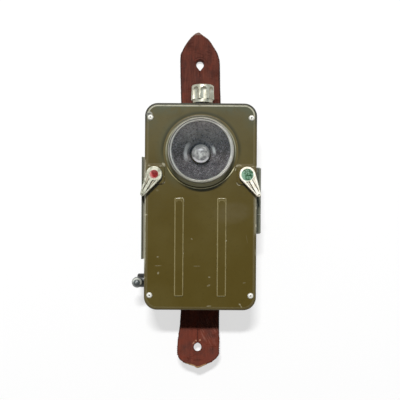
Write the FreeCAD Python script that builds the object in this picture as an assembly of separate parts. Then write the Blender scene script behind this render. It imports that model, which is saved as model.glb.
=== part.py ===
import FreeCAD, Part
import math
import os

# Morse signal lamp, a flat steel pocket lamp with a leather button strap.
# It lies on its back: X to the right, Y towards the Morse key on the top edge,
# Z out of the lens. The origin is on the strap carrier's outer face, under the
# middle of the case. All sizes are in millimetres and all angles in degrees.

# ---------------------------------------------------------------- case shells
case_width = 74.0
case_height = 136.5
case_corner = 8.6
sheet = 0.8
rear_depth = 24.0
rear_edge = 3.0
cover_depth = 11.0
cover_edge = 2.0
lip_height = 3.0
lip_root = 3.7
lip_clearance = 0.2

# ---------------------------------------------------------- strap and carrier
carrier_sheet = 0.8
carrier_length = 64.0
carrier_flange = 7.0
carrier_rivet_y = 18.0
carrier_rivet_radius = 1.4
carrier_head_radius = 2.2
rivet_head = 0.7
strap_thickness = 2.4
strap_width = 28.4
strap_foot_width = 29.6
strap_top_reach = 55.75
strap_bottom_reach = 44.5
strap_clearance = 0.3
strap_side_clearance = 0.6
strap_tip_shift = -1.8
strap_tip_flat = 1.8
strap_left_point = 15.0
strap_left_bulge = 10.8
strap_right_point = 21.5
strap_right_bulge = 8.0
strap_foot_corner = 7.5
strap_foot_point = 2.0
strap_bulge_drop = 7.2
buttonhole_radius = 2.7
buttonhole_inset_top = 22.8
buttonhole_inset_bottom = 13.4
buttonhole_shift_top = -0.75
buttonhole_shift_bottom = -1.25
slit_width = 0.8
slit_length = 11.0
strap_bend_start = 4.0
strap_bend_radius = 48.0
strap_bend_angle = 24.0

# --------------------------------------------------------- raised panel forms
rib_width = 6.1
rib_length = 64.8
rib_spacing = 28.0
rib_margin = 9.25
rib_height = 0.8
pad_width = 12.0
pad_length = 12.5
pad_height = 1.2
pad_corner = 2.4
pad_shift = 0.7
emboss_edge = 0.5

# ---------------------------------------------------------------- lens collar
lens_drop = 32.05
lens_base_radius = 24.6
collar_flange = 0.7
collar_height = 8.2
collar_top_radius = 21.4
collar_wall = 0.8
collar_foot_radius = 2.2
collar_draft = 0.4
ring_radius = 21.2
ring_sight_radius = 18.9
ring_height = 10.0
ring_groove = 0.5
ring_bevel = 0.3
ring_wall = 0.9
glass_edge = 1.6
glass_dome = 1.7
glass_seat = 1.0
gasket_thickness = 0.8

# ------------------------------------------------------- corner rivets, guard
rivet_side_inset = 3.8
rivet_end_inset = 9.85
rivet_head_radius = 1.95
rivet_dome = 1.0
rivet_shank_radius = 0.9
sleeve_radius = 1.7
rivet_tail_radius = 1.5
guard_drop = 5.4
guard_sheet = 0.6
guard_clearance = 0.8
guard_eye_clearance = 0.6

# ------------------------------------------------------------ filter mechanism
pivot_side_inset = 6.6
pivot_drop = 15.2
shaft_radius = 1.5
running_clearance = 0.05
bush_radius = 2.5
bush_flange_radius = 3.8
bush_flange = 1.0
washer_thickness = 0.4
washer_radius = 4.4
lever_head_radius = 5.3
lever_tip_radius = 1.6
lever_length = 14.7
lever_thickness = 2.4
lever_rest_angle = 30.0
lever_border = 1.6
lever_recess = 0.9
lever_rib = 1.7
red_hub_radius = 4.1
green_hub_radius = 4.5
red_jewel_radius = 2.85
green_jewel_radius = 4.0
jewel_seat = 0.9
jewel_dome = 0.7
filter_swing = 78.0
filter_overlap = 1.1
filter_frame_width = 2.0
filter_thickness = 1.2
filter_glass = 0.8
filter_seat = 0.7
filter_gap = 0.7
filter_arm_width = 8.0
filter_hub_radius = 4.2

# ---------------------------------------------------------- lamp and reflector
chassis_sheet = 0.8
chassis_length = 26.0
chassis_half_width = 20.4
chassis_plate_height = 9.6
chassis_foot = 6.0
reflector_sheet = 0.5
reflector_mouth_radius = 19.6
reflector_rim = 1.8
reflector_neck_radius = 6.6
reflector_neck = 3.0
reflector_gap = 0.5
socket_radius = 4.95
socket_wall = 0.55
socket_flange = 0.6
socket_flange_radius = 8.2
socket_above = 2.2
socket_below = 5.4
bulb_base_radius = 4.75
bulb_base_length = 8.8
bulb_tip_radius = 2.0
bulb_tip_length = 1.2
bulb_solder = 0.5
bulb_radius = 5.9
bulb_wall = 0.4
bulb_neck_radius = 4.3
filament_wire = 0.25
filament_spread = 1.6

# ------------------------------------------------------------------ Morse key
key_offset = 1.0
key_above_back = 14.0
key_travel = 2.4
bush_face_radius = 7.5
bush_face = 0.6
bush_thread_radius = 5.5
bush_inner_length = 5.0
nut_flats = 14.0
nut_thickness = 2.0
nut_clearance = 0.05
stem_radius = 2.5
knob_radius = 8.1
knob_top_radius = 7.6
knob_top_bevel = 0.6
knob_rim = 0.6
knob_cavity_radius = 5.2
knob_head_length = 9.9
knob_skirt_radius = 6.8
knob_skirt_length = 2.1
knob_bore_depth = 4.0
knob_cap = 3.6
flute_count = 8
flute_radius = 3.8
flute_depth = 1.5
flute_stop = 3.6
flute_phase = 7.0
spring_turns = 4
spring_radius = 4.1
spring_wire = 0.35
press_reserve = 0.15
clip_radius = 4.2
clip_thickness = 0.8
clip_mouth = 3.5
key_tip_radius = 1.6
key_tip_length = 1.3
stem_tail = 4.4
key_block_width = 12.0
key_block_thickness = 2.4
key_contact_width = 5.6
contact_sheet = 0.5

# ---------------------------------------------------------------- side switch
switch_catch_gap = 1.2
switch_above_back = 14.8
switch_radius = 4.7
switch_boss_length = 2.4
switch_cap_length = 3.4
switch_cap_bevel = 0.6
switch_gap = 0.15
switch_spindle_radius = 1.5
switch_thread_radius = 3.0
switch_nut_flats = 8.4
switch_nut = 1.2
switch_arm_radius = 1.1
switch_arm_length = 10.0
switch_arm_inset = 1.7
switch_arm_wall = 0.8
switch_ball_radius = 3.65
switch_ball_offset = 1.0
wiper_sheet = 0.5
wiper_length = 8.0
wiper_width = 2.4
wiper_hub_radius = 2.6
side_strip_width = 5.0
side_strip_gap = 0.4
side_insulator = 0.6

# ---------------------------------------------------------------------- hinge
hinge_length = 43.7
hinge_rise = 4.15
hinge_barrel_radius = 1.7
hinge_pin_radius = 0.9
hinge_head_radius = 1.35
hinge_head = 0.5
hinge_standoff = 0.3
hinge_leaf = 0.8
hinge_case_leaf_width = 9.0
hinge_cover_leaf_width = 7.0
hinge_middle_knuckle = 16.2
hinge_lower_knuckle = 12.5
hinge_end_gap = 0.15
hinge_sweep_gap = 0.3

# ---------------------------------------------------------------------- catch
catch_foot_length = 89.2
catch_foot_width = 9.0
catch_foot_drop = 5.0
catch_sheet = 0.6
catch_centre = -0.8
catch_leaf_length = 67.7
catch_leaf_centre = -1.15
catch_reach = 1.5
catch_hollow = 1.5
catch_waist = 0.35
catch_height = 13.2
catch_rise = 2.4
catch_room_below = 1.2
catch_room_above = 0.9
catch_nip = 2.5
catch_foot_end = 2.7
bead_radius = 0.8
bead_length = 40.0
bead_rise = 2.2

# -------------------------------------------------------------------- battery
battery_width = 62.0
battery_length = 67.0
battery_thickness = 21.5
battery_corner = 2.0
battery_clearance = 0.2
battery_pad = 1.0
guide_thickness = 0.8
guide_height = 12.0
guide_foot = 2.6
guide_length = 36.0
guide_rise = 20.0
terminal_width = 7.0
terminal_sheet = 0.3
terminal_length = 9.0
terminal_spacing = 34.0
board_thickness = 1.6
board_gap = 2.4
board_top_gap = 0.1
insulator_width = 9.0
insulator_thickness = 1.6
strip_width = 5.0
strip_rise = 12.0

# ------------------------------------------------------- levels and positions
back_z = carrier_sheet + strap_thickness + 2 * strap_clearance
floor_z = back_z + sheet
seam_z = back_z + rear_depth
panel_z = seam_z + cover_depth
ceiling_z = panel_z - sheet
half_width = case_width / 2
half_height = case_height / 2
wall_x = half_width - sheet
wall_y = half_height - sheet
lip_top_z = seam_z + lip_height

lens_y = half_height - lens_drop
pivot_x = half_width - pivot_side_inset
pivot_y = lens_y - pivot_drop
pad_top_z = panel_z + pad_height
lever_bottom_z = pad_top_z + washer_thickness
lever_top_z = lever_bottom_z + lever_thickness

guard_top_z = ceiling_z - guard_drop
guard_bottom_z = guard_top_z - guard_sheet
filter_low_z = guard_top_z + filter_gap
filter_high_z = filter_low_z + filter_thickness + filter_gap
filter_radius = ring_sight_radius + filter_overlap
filter_arm = math.hypot(pivot_x, pivot_drop)
filter_use_angle = math.degrees(math.atan2(pivot_drop, pivot_x))

chassis_plate_z = floor_z + chassis_plate_height
socket_seat_z = chassis_plate_z + socket_flange
reflector_mouth_z = guard_bottom_z - reflector_gap
reflector_neck_z = socket_seat_z + reflector_neck
reflector_focus = ((reflector_mouth_radius ** 2 - reflector_neck_radius ** 2)
                   / (4 * (reflector_mouth_z - reflector_neck_z)))
reflector_vertex_z = reflector_neck_z - reflector_neck_radius ** 2 / (4 * reflector_focus)
bulb_centre_z = reflector_vertex_z + reflector_focus
strip_z = floor_z + insulator_thickness
bulb_tip_z = strip_z + contact_sheet
bulb_base_z = bulb_tip_z + bulb_tip_length
bulb_base_top_z = bulb_base_z + bulb_base_length

key_z = back_z + key_above_back
bush_face_y = half_height + bush_face
knob_skirt_y = bush_face_y + key_travel + press_reserve
knob_head_y = knob_skirt_y + knob_skirt_length
knob_top_y = knob_head_y + knob_head_length
knob_cavity_y = knob_top_y - knob_bore_depth - knob_cap
bush_end_y = wall_y - bush_inner_length
clip_y = bush_end_y - running_clearance - clip_thickness
stem_end_y = clip_y - stem_tail
key_tip_y = stem_end_y - key_tip_length
key_contact_y = key_tip_y - key_travel - press_reserve

switch_y = catch_centre - catch_foot_length / 2 - switch_catch_gap - switch_radius
switch_z = back_z + switch_above_back
switch_boss_x = -half_width - switch_boss_length
switch_cap_x = switch_boss_x - switch_gap
switch_nut_x = -wall_x + switch_nut

hinge_x = half_width + hinge_standoff + hinge_barrel_radius
hinge_y_low = hinge_rise - hinge_length / 2
hinge_y_high = hinge_rise + hinge_length / 2
hinge_split_low = hinge_y_low + hinge_lower_knuckle
hinge_split_high = hinge_split_low + hinge_middle_knuckle

catch_foot_z = seam_z - catch_foot_drop

lip_outer_x = wall_x - lip_clearance
lip_inner_x = lip_outer_x - sheet
lip_inner_y = wall_y - lip_clearance - sheet
battery_y = -lip_inner_y + battery_clearance
battery_top_y = battery_y + battery_length
battery_z = floor_z + battery_pad
board_y = battery_top_y + board_gap
board_back_y = board_y + board_thickness
board_top_z = seam_z - lip_root - board_top_gap


# ------------------------------------------------------------- building blocks
def vec(x, y, z):
    return FreeCAD.Vector(x, y, z)


def block(x_low, x_high, y_low, y_high, z_low, z_high):
    return Part.makeBox(x_high - x_low, y_high - y_low, z_high - z_low,
                        vec(x_low, y_low, z_low))


def rod(radius, start, direction, length):
    return Part.makeCylinder(radius, length, start, direction)


def upright(radius, x, y, z_low, z_high):
    return rod(radius, vec(x, y, z_low), vec(0, 0, 1), z_high - z_low)


def along_y(radius, x, z, y_low, y_high):
    return rod(radius, vec(x, y_low, z), vec(0, 1, 0), y_high - y_low)


def along_x(radius, y, z, x_low, x_high):
    return rod(radius, vec(x_low, y, z), vec(1, 0, 0), x_high - x_low)


def rounded_wire(width, height, corner, z, x=0.0, y=0.0):
    """A rectangle with four round corners, about (x, y) at the level z."""
    w, h, r = width / 2, height / 2, corner
    k = r * (1 - math.sqrt(0.5))
    line = Part.LineSegment
    edges = [
        line(vec(-w + r, -h, 0), vec(w - r, -h, 0)).toShape(),
        Part.Arc(vec(w - r, -h, 0), vec(w - k, -h + k, 0), vec(w, -h + r, 0)).toShape(),
        line(vec(w, -h + r, 0), vec(w, h - r, 0)).toShape(),
        Part.Arc(vec(w, h - r, 0), vec(w - k, h - k, 0), vec(w - r, h, 0)).toShape(),
        line(vec(w - r, h, 0), vec(-w + r, h, 0)).toShape(),
        Part.Arc(vec(-w + r, h, 0), vec(-w + k, h - k, 0), vec(-w, h - r, 0)).toShape(),
        line(vec(-w, h - r, 0), vec(-w, -h + r, 0)).toShape(),
        Part.Arc(vec(-w, -h + r, 0), vec(-w + k, -h + k, 0), vec(-w + r, -h, 0)).toShape(),
    ]
    wire = Part.Wire(edges)
    wire.translate(vec(x, y, z))
    return wire


def slab(width, height, corner, z_low, z_high, x=0.0, y=0.0):
    face = Part.Face(rounded_wire(width, height, corner, z_low, x, y))
    return face.extrude(vec(0, 0, z_high - z_low))


def round_rim(solid, radius, z):
    """Round every edge that lies in the plane z."""
    rim = [e for e in solid.Edges
           if abs(e.BoundBox.ZMin - z) < 1e-6 and abs(e.BoundBox.ZMax - z) < 1e-6]
    return solid.makeFillet(radius, rim)


def turned(points, centre, axis):
    """Revolve an outline of (radius, height) points about the axis through centre."""
    wire = Part.makePolygon([vec(r, 0, h) for r, h in points + points[:1]])
    return revolve_wire(wire, centre, axis)


def revolve_wire(wire, centre, axis):
    solid = Part.Face(wire).revolve(vec(0, 0, 0), vec(0, 0, 1), 360)
    turn = FreeCAD.Rotation(vec(0, 0, 1), axis)
    solid.Placement = FreeCAD.Placement(centre, turn)
    return solid


def outline(items):
    """A closed wire in the XZ plane from (x, z) points; a pair in a list is an arc's
    middle point and its end."""
    edges = []
    here = items[0]
    for item in items[1:] + items[:1]:
        a = vec(here[0], 0, here[1])
        if isinstance(item, list):
            mid, end = item
            edges.append(Part.Arc(a, vec(mid[0], 0, mid[1]), vec(end[0], 0, end[1])).toShape())
            here = end
        else:
            edges.append(Part.LineSegment(a, vec(item[0], 0, item[1])).toShape())
            here = item
    return Part.Wire(edges)


def extruded_y(points, y_low, y_high):
    """Extrude a closed outline of (x, z) points along Y."""
    wire = Part.makePolygon([vec(x, y_low, z) for x, z in points + points[:1]])
    return Part.Face(wire).extrude(vec(0, y_high - y_low, 0))


def hexagon(flats, start, direction, length):
    corner = flats / math.sqrt(3)
    points = [vec(corner * math.cos(math.radians(60 * i)), corner * math.sin(math.radians(60 * i)), 0)
              for i in range(7)]
    solid = Part.Face(Part.makePolygon(points)).extrude(vec(0, 0, length))
    solid.Placement = FreeCAD.Placement(start, FreeCAD.Rotation(vec(0, 0, 1), direction))
    return solid


def group(solids):
    return Part.makeCompound(solids)


def corners(x, y):
    return [(sx * x, sy * y) for sx in (-1, 1) for sy in (-1, 1)]


# ----------------------------------------------------------------- case shells
def rear_case():
    outer = slab(case_width, case_height, case_corner, back_z, seam_z)
    outer = round_rim(outer, rear_edge, back_z)
    inner = slab(2 * wall_x, 2 * wall_y, case_corner - sheet, floor_z, seam_z)
    inner = round_rim(inner, rear_edge - sheet, floor_z)
    shell = outer.cut(inner)
    inset = sheet + lip_clearance
    lip_low = slab(2 * wall_x, 2 * wall_y, case_corner - sheet, seam_z - lip_root, seam_z)
    lip_high = slab(case_width - 2 * inset, case_height - 2 * inset, case_corner - inset,
                    seam_z, lip_top_z)
    hollow = slab(2 * lip_inner_x, 2 * lip_inner_y, case_corner - inset - sheet,
                  seam_z - lip_root, lip_top_z)
    shell = shell.fuse(lip_low.fuse(lip_high).cut(hollow))
    shell = shell.cut(along_y(bush_thread_radius, key_offset, key_z, lip_inner_y, half_height))
    shell = shell.cut(along_x(switch_thread_radius, switch_y, switch_z, -half_width, -lip_inner_x))
    for x, y in corners(carrier_rivet_x(), carrier_rivet_y):
        shell = shell.cut(upright(carrier_rivet_radius, x, y, back_z, floor_z))
    return shell.removeSplitter()


def emboss(width, height, corner, rise, x, y):
    """A pressed-up island: the outer form to add and the hollow under it."""
    outer = slab(width, height, corner, ceiling_z, panel_z + rise, x, y)
    outer = round_rim(outer, emboss_edge, panel_z + rise)
    hollow = slab(width - 2 * sheet, height - 2 * sheet, max(corner - sheet, emboss_edge),
                  ceiling_z, ceiling_z + rise, x, y)
    return outer, hollow


def front_cover():
    outer = slab(case_width, case_height, case_corner, seam_z, panel_z)
    outer = round_rim(outer, cover_edge, panel_z)
    inner = slab(2 * wall_x, 2 * wall_y, case_corner - sheet, seam_z, ceiling_z)
    inner = round_rim(inner, cover_edge - sheet, ceiling_z)
    shell = outer.cut(inner)
    rib_y = -half_height + rib_margin + rib_length / 2
    islands = [emboss(rib_width, rib_length, emboss_edge + sheet, rib_height,
                      side * rib_spacing / 2, rib_y)
               for side in (-1, 1)]
    islands += [emboss(pad_width, pad_length, pad_corner, pad_height, side * (pivot_x - pad_shift), pivot_y)
                for side in (-1, 1)]
    for raised, hollow in islands:
        shell = shell.fuse(raised)
    for raised, hollow in islands:
        shell = shell.cut(hollow)
    shell = shell.cut(upright(throat_radius(), 0, lens_y, ceiling_z, panel_z))
    for x, y in rivet_places():
        shell = shell.cut(upright(rivet_shank_radius, x, y, ceiling_z, panel_z))
    for side in (-1, 1):
        shell = shell.cut(upright(bush_radius, side * pivot_x, pivot_y, ceiling_z, pad_top_z))
    bead = along_y(bead_radius, -half_width, seam_z + bead_rise,
                   catch_leaf_centre - bead_length / 2, catch_leaf_centre + bead_length / 2)
    inside = slab(2 * wall_x, 2 * wall_y, case_corner - sheet, seam_z, ceiling_z)
    shell = shell.fuse(bead.cut(inside))
    return shell.removeSplitter()


def throat_radius():
    return collar_top_radius - collar_wall - gasket_thickness


def rivet_places():
    return corners(half_width - rivet_side_inset, half_height - rivet_end_inset)


def cover_rivets():
    rivets = []
    dome_ball = (rivet_head_radius ** 2 + rivet_dome ** 2) / (2 * rivet_dome)
    for x, y in rivet_places():
        dome = Part.makeSphere(dome_ball, vec(x, y, panel_z + rivet_dome - dome_ball))
        head = dome.common(upright(rivet_head_radius, x, y, panel_z, panel_z + rivet_dome))
        shank = upright(rivet_shank_radius, x, y, guard_bottom_z - rivet_dome / 2, panel_z)
        tail = upright(rivet_tail_radius, x, y, guard_bottom_z - rivet_dome / 2, guard_bottom_z)
        rivets.append(head.fuse(shank).fuse(tail).removeSplitter())
    return group(rivets)


def spacer_sleeves():
    return group([upright(sleeve_radius, x, y, guard_top_z, ceiling_z)
                  .cut(upright(rivet_shank_radius, x, y, guard_top_z, ceiling_z))
                  for x, y in rivet_places()])


def guard_plate():
    inset = sheet + guard_clearance
    plate = slab(case_width - 2 * inset, case_height - 2 * inset, case_corner - inset,
                 guard_bottom_z, guard_top_z)
    eye = reflector_mouth_radius + guard_eye_clearance
    plate = plate.cut(upright(eye, 0, lens_y, guard_bottom_z, guard_top_z))
    for x, y in rivet_places():
        plate = plate.cut(upright(rivet_shank_radius, x, y, guard_bottom_z, guard_top_z))
    for side in (-1, 1):
        plate = plate.cut(upright(shaft_radius + running_clearance, side * pivot_x, pivot_y,
                                  guard_bottom_z, guard_top_z))
    return plate


# ---------------------------------------------------------------- lens and ring
def lens_collar():
    base, top = panel_z, panel_z + collar_height
    r_in = collar_top_radius - collar_wall
    wall_r = collar_top_radius + collar_draft
    foot_r = wall_r + collar_foot_radius
    ledge = throat_radius()
    ledge_z = glass_back_z() - gasket_thickness
    bend = collar_foot_radius * (1 - math.sqrt(0.5))
    wire = outline([
        (ledge, base),
        (lens_base_radius, base),
        (lens_base_radius, base + collar_flange),
        (foot_r, base + collar_flange),
        [(wall_r + bend, base + collar_flange + bend),
         (wall_r, base + collar_flange + collar_foot_radius)],
        (collar_top_radius, top),
        (r_in, top),
        (r_in, ledge_z),
        (ledge - collar_wall, ledge_z),
        (ledge - collar_wall, ledge_z - collar_wall),
        (ledge, ledge_z - collar_wall),
    ])
    return revolve_wire(wire, vec(0, lens_y, 0), vec(0, 0, 1))


def glass_back_z():
    return panel_z + ring_height - glass_seat - glass_edge


def lens_gasket():
    outer = collar_top_radius - collar_wall
    inner = throat_radius() - collar_wall
    return turned([(inner, glass_back_z() - gasket_thickness), (outer, glass_back_z() - gasket_thickness),
                   (outer, glass_back_z()), (inner, glass_back_z())],
                  vec(0, lens_y, 0), vec(0, 0, 1))


def lens_ring():
    """Bare ring over the collar: two beads with a groove between, and a skirt inside."""
    top = panel_z + ring_height
    rim_z = panel_z + collar_height
    skirt_r = collar_top_radius - collar_wall
    seat_z = top - glass_seat
    glass_r = glass_radius()
    mid = (ring_radius + ring_sight_radius) / 2
    wire = outline([
        (ring_sight_radius, seat_z),
        (ring_sight_radius, top - ring_groove),
        [(ring_sight_radius + ring_bevel, top - ring_bevel / 3), (mid - ring_groove, top)],
        [(mid, top - ring_groove), (mid + ring_groove, top)],
        [(ring_radius - ring_bevel, top - ring_bevel), (ring_radius, top - 2 * ring_groove)],
        (ring_radius, rim_z),
        (skirt_r, rim_z),
        (skirt_r, glass_back_z()),
        (glass_r, glass_back_z()),
        (glass_r, seat_z),
    ])
    return revolve_wire(wire, vec(0, lens_y, 0), vec(0, 0, 1))


def glass_radius():
    return collar_top_radius - collar_wall - ring_wall - 2 * running_clearance


def lens_glass():
    back = glass_back_z()
    front = back + glass_edge
    sight = ring_sight_radius - 2 * running_clearance
    radius = glass_radius() - running_clearance
    crown = (sight ** 2 + glass_dome ** 2) / (2 * glass_dome)
    half = math.asin(sight / crown) / 2
    mid = (crown * math.sin(half), front + glass_dome - crown + crown * math.cos(half))
    wire = outline([(0, back), (radius, back), (radius, front), (sight, front),
                    [mid, (0, front + glass_dome)]])
    return revolve_wire(wire, vec(0, lens_y, 0), vec(0, 0, 1))


# ------------------------------------------------------------- filter mechanism
def teardrop_face(head, tip, distance, z):
    """Two circles joined by their common tangents, head at the origin, tip down -Y."""
    tilt = math.asin((head - tip) / distance)
    c, s = math.cos(tilt), math.sin(tilt)
    hx, hy = head * c, -head * s
    tx, ty = tip * c, -distance - tip * s
    edges = [
        Part.LineSegment(vec(-hx, hy, z), vec(-tx, ty, z)).toShape(),
        Part.Arc(vec(-tx, ty, z), vec(0, -distance - tip, z), vec(tx, ty, z)).toShape(),
        Part.LineSegment(vec(tx, ty, z), vec(hx, hy, z)).toShape(),
        Part.Arc(vec(hx, hy, z), vec(0, head, z), vec(-hx, hy, z)).toShape(),
    ]
    return Part.Face(Part.Wire(edges))


def swung(shape, side, angle):
    """Put a part made about the origin on the pivot of that side, turned by angle."""
    shape.Placement = FreeCAD.Placement(vec(side * pivot_x, pivot_y, 0),
                                        FreeCAD.Rotation(vec(0, 0, 1), angle))
    return shape


def lever(side, jewel_radius, hub_radius):
    body = teardrop_face(lever_head_radius, lever_tip_radius, lever_length, lever_bottom_z)
    body = body.extrude(vec(0, 0, lever_thickness))
    body = round_rim(body, emboss_edge, lever_top_z)
    pocket = teardrop_face(lever_head_radius - lever_border, lever_tip_radius - lever_border / 2,
                           lever_length, lever_top_z - lever_recess)
    pocket = pocket.extrude(vec(0, 0, lever_recess))
    pocket = pocket.cut(upright(hub_radius, 0, 0, lever_bottom_z, lever_top_z))
    spine = block(-lever_rib / 2, lever_rib / 2, -lever_length, 0, lever_bottom_z, lever_top_z)
    body = body.cut(pocket.cut(spine))
    body = body.cut(upright(jewel_radius, 0, 0, lever_top_z - jewel_seat, lever_top_z))
    body = body.cut(upright(shaft_radius, 0, 0, lever_bottom_z, lever_top_z - jewel_seat))
    return swung(body, side, side * lever_rest_angle)


def jewel(side, radius):
    ball = (radius ** 2 + jewel_dome ** 2) / (2 * jewel_dome)
    low = lever_top_z - jewel_seat
    edge_z = lever_top_z
    dome = Part.makeSphere(ball, vec(0, 0, edge_z + jewel_dome - ball))
    dome = dome.common(upright(radius, 0, 0, edge_z, edge_z + jewel_dome))
    stone = upright(radius, 0, 0, low, edge_z).fuse(dome).removeSplitter()
    return swung(stone, side, 0)


def lever_shaft(side):
    return upright(shaft_radius, side * pivot_x, pivot_y, guard_bottom_z, lever_top_z - jewel_seat)


def lever_bushes():
    bushes = []
    for side in (-1, 1):
        x = side * pivot_x
        top = pad_top_z
        seat = pad_top_z - sheet
        sleeve = upright(bush_radius, x, pivot_y, filter_high_z + filter_thickness + filter_gap / 2, top)
        flange = upright(bush_flange_radius, x, pivot_y, seat - bush_flange, seat)
        bore = upright(shaft_radius + running_clearance, x, pivot_y, guard_top_z, top)
        bushes.append(sleeve.fuse(flange).cut(bore).removeSplitter())
    return group(bushes)


def lever_washers():
    return group([upright(washer_radius, side * pivot_x, pivot_y, pad_top_z, lever_bottom_z)
                  .cut(upright(shaft_radius + running_clearance, side * pivot_x, pivot_y,
                               pad_top_z, lever_bottom_z))
                  for side in (-1, 1)])


def filter_level(side):
    return filter_low_z if side < 0 else filter_high_z


def filter_rest_angle(side):
    angle = filter_use_angle - filter_swing
    return angle if side < 0 else 180 - angle


def filter_frame(side):
    z = filter_level(side)
    top = z + filter_thickness
    hub = upright(filter_hub_radius, 0, 0, z, top)
    arm = block(0, filter_arm, -filter_arm_width / 2, filter_arm_width / 2, z, top)
    rim = upright(filter_radius, filter_arm, 0, z, top)
    eye = upright(filter_radius - filter_frame_width, filter_arm, 0, z, top)
    seat = upright(filter_radius - filter_frame_width + filter_seat, filter_arm, 0, top - filter_glass, top)
    frame = hub.fuse(arm).fuse(rim).cut(eye).cut(seat).cut(upright(shaft_radius, 0, 0, z, top))
    return swung(frame.removeSplitter(), side, filter_rest_angle(side))


def filter_disc(side):
    top = filter_level(side) + filter_thickness
    disc = upright(filter_radius - filter_frame_width + filter_seat, filter_arm, 0, top - filter_glass, top)
    return swung(disc, side, filter_rest_angle(side))


# ------------------------------------------------------------ lamp and reflector
def chassis():
    """Bent bracket: two cheeks with feet on the case floor and a shelf between them."""
    x, t = chassis_half_width, chassis_sheet
    shelf_low = chassis_plate_z - t
    rim_z = reflector_mouth_z - reflector_sheet
    half = [(x, shelf_low), (x, floor_z), (x + chassis_foot, floor_z), (x + chassis_foot, floor_z + t),
            (x + t, floor_z + t), (x + t, rim_z), (x, rim_z), (x, chassis_plate_z)]
    mirrored = [(-px, pz) for px, pz in reversed(half)]
    body = extruded_y(half + mirrored, lens_y - chassis_length / 2, lens_y + chassis_length / 2)
    body = body.cut(upright(socket_radius + socket_wall, 0, lens_y, shelf_low, chassis_plate_z))
    window = chassis_length / 4
    for side in (-1, 1):
        low, high = sorted((side * x, side * (x + t)))
        body = body.cut(block(low, high, lens_y - window, lens_y + window,
                              floor_z + 2 * t, shelf_low - t))
    return body


def bulb_socket():
    top = chassis_plate_z + socket_above
    low = chassis_plate_z - socket_below
    outer = socket_radius + socket_wall
    return turned([(socket_radius, low), (outer, low), (outer, chassis_plate_z),
                   (socket_flange_radius, chassis_plate_z), (socket_flange_radius, socket_seat_z),
                   (outer, socket_seat_z), (outer, top), (socket_radius, top)],
                  vec(0, lens_y, 0), vec(0, 0, 1))


def parabola_edge(r_low, r_high, offset, lift):
    """The reflector's curve from r_low to r_high, moved out by offset and down by lift."""
    steps = 7
    points = []
    for i in range(steps):
        r = r_low + (r_high - r_low) * i / (steps - 1)
        z = reflector_vertex_z + r ** 2 / (4 * reflector_focus)
        points.append(vec(r + offset, 0, z - lift))
    curve = Part.BSplineCurve()
    curve.interpolate(points)
    return curve.toShape(), points


def reflector():
    t = reflector_sheet
    neck, mouth = reflector_neck_radius, reflector_mouth_radius
    slant = t * math.sqrt(0.5)
    inner, inner_points = parabola_edge(neck, mouth, 0.0, 0.0)
    outer, outer_points = parabola_edge(neck, mouth, slant, slant)
    rim_top = reflector_mouth_z
    corner_points = [
        inner_points[-1], vec(mouth + reflector_rim, 0, rim_top),
        vec(mouth + reflector_rim, 0, rim_top - t), vec(outer_points[-1].x, 0, rim_top - t),
    ]
    edges = [inner]
    for a, b in zip(corner_points, corner_points[1:]):
        edges.append(Part.LineSegment(a, b).toShape())
    edges.append(Part.LineSegment(corner_points[-1], outer_points[-1]).toShape())
    edges.append(outer)
    foot = [outer_points[0], vec(neck + slant, 0, socket_seat_z), vec(neck, 0, socket_seat_z),
            inner_points[0]]
    for a, b in zip(foot, foot[1:]):
        edges.append(Part.LineSegment(a, b).toShape())
    wire = Part.Wire(Part.__sortEdges__([e for e in edges if e.Length > 1e-6]))
    return revolve_wire(wire, vec(0, lens_y, 0), vec(0, 0, 1))


def bulb_profile(globe, neck, z_low):
    """Half outline of the glass envelope, from the axis at z_low up to the crown."""
    dz = math.sqrt(globe ** 2 - neck ** 2)
    return [(0, z_low), (neck, z_low), (neck, bulb_centre_z - dz),
            [(globe, bulb_centre_z), (0, bulb_centre_z + globe)]]


def bulb_globe():
    z_low = bulb_base_top_z
    shell = revolve_wire(outline(bulb_profile(bulb_radius, bulb_neck_radius, z_low)),
                         vec(0, lens_y, 0), vec(0, 0, 1))
    core = revolve_wire(outline(bulb_profile(bulb_radius - bulb_wall, bulb_neck_radius - bulb_wall, z_low)),
                        vec(0, lens_y, 0), vec(0, 0, 1))
    return shell.cut(core)


def bulb_base():
    profile = [(0, bulb_tip_z), (bulb_tip_radius, bulb_tip_z),
               (bulb_tip_radius, bulb_tip_z + bulb_solder),
               (bulb_base_radius - bulb_solder, bulb_base_z),
               (bulb_base_radius, bulb_base_z + bulb_solder),
               (bulb_base_radius, bulb_base_top_z), (0, bulb_base_top_z)]
    return turned(profile, vec(0, lens_y, 0), vec(0, 0, 1))


def bulb_filament():
    posts = [upright(filament_wire, side * filament_spread, lens_y, bulb_base_top_z, bulb_centre_z)
             for side in (-1, 1)]
    coil = along_x(filament_wire, lens_y, bulb_centre_z, -filament_spread, filament_spread)
    return posts[0].fuse(posts[1]).fuse(coil)


def insulating_pad():
    return block(-insulator_width / 2, insulator_width / 2, board_back_y, lens_y + insulator_width / 2,
                 floor_z, strip_z)


def bulb_contact_strip():
    half = strip_width / 2
    flat = block(-half, half, board_back_y, lens_y + half, strip_z, bulb_tip_z)
    up = block(-half, half, board_back_y, board_back_y + contact_sheet, strip_z, strip_z + strip_rise)
    return flat.fuse(up).removeSplitter()


# -------------------------------------------------------------------- Morse key
def key_bush():
    barrel = along_y(bush_thread_radius, key_offset, key_z, bush_end_y, half_height)
    face = along_y(bush_face_radius, key_offset, key_z, half_height, bush_face_y)
    bore = along_y(stem_radius + running_clearance, key_offset, key_z, bush_end_y, bush_face_y)
    return barrel.fuse(face).cut(bore).removeSplitter()


def key_nut():
    start = vec(key_offset, lip_inner_y - nut_thickness, key_z)
    nut = hexagon(nut_flats, start, vec(0, 1, 0), nut_thickness)
    hole = along_y(bush_thread_radius + nut_clearance, key_offset, key_z,
                   lip_inner_y - nut_thickness, lip_inner_y)
    return nut.cut(hole)


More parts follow.
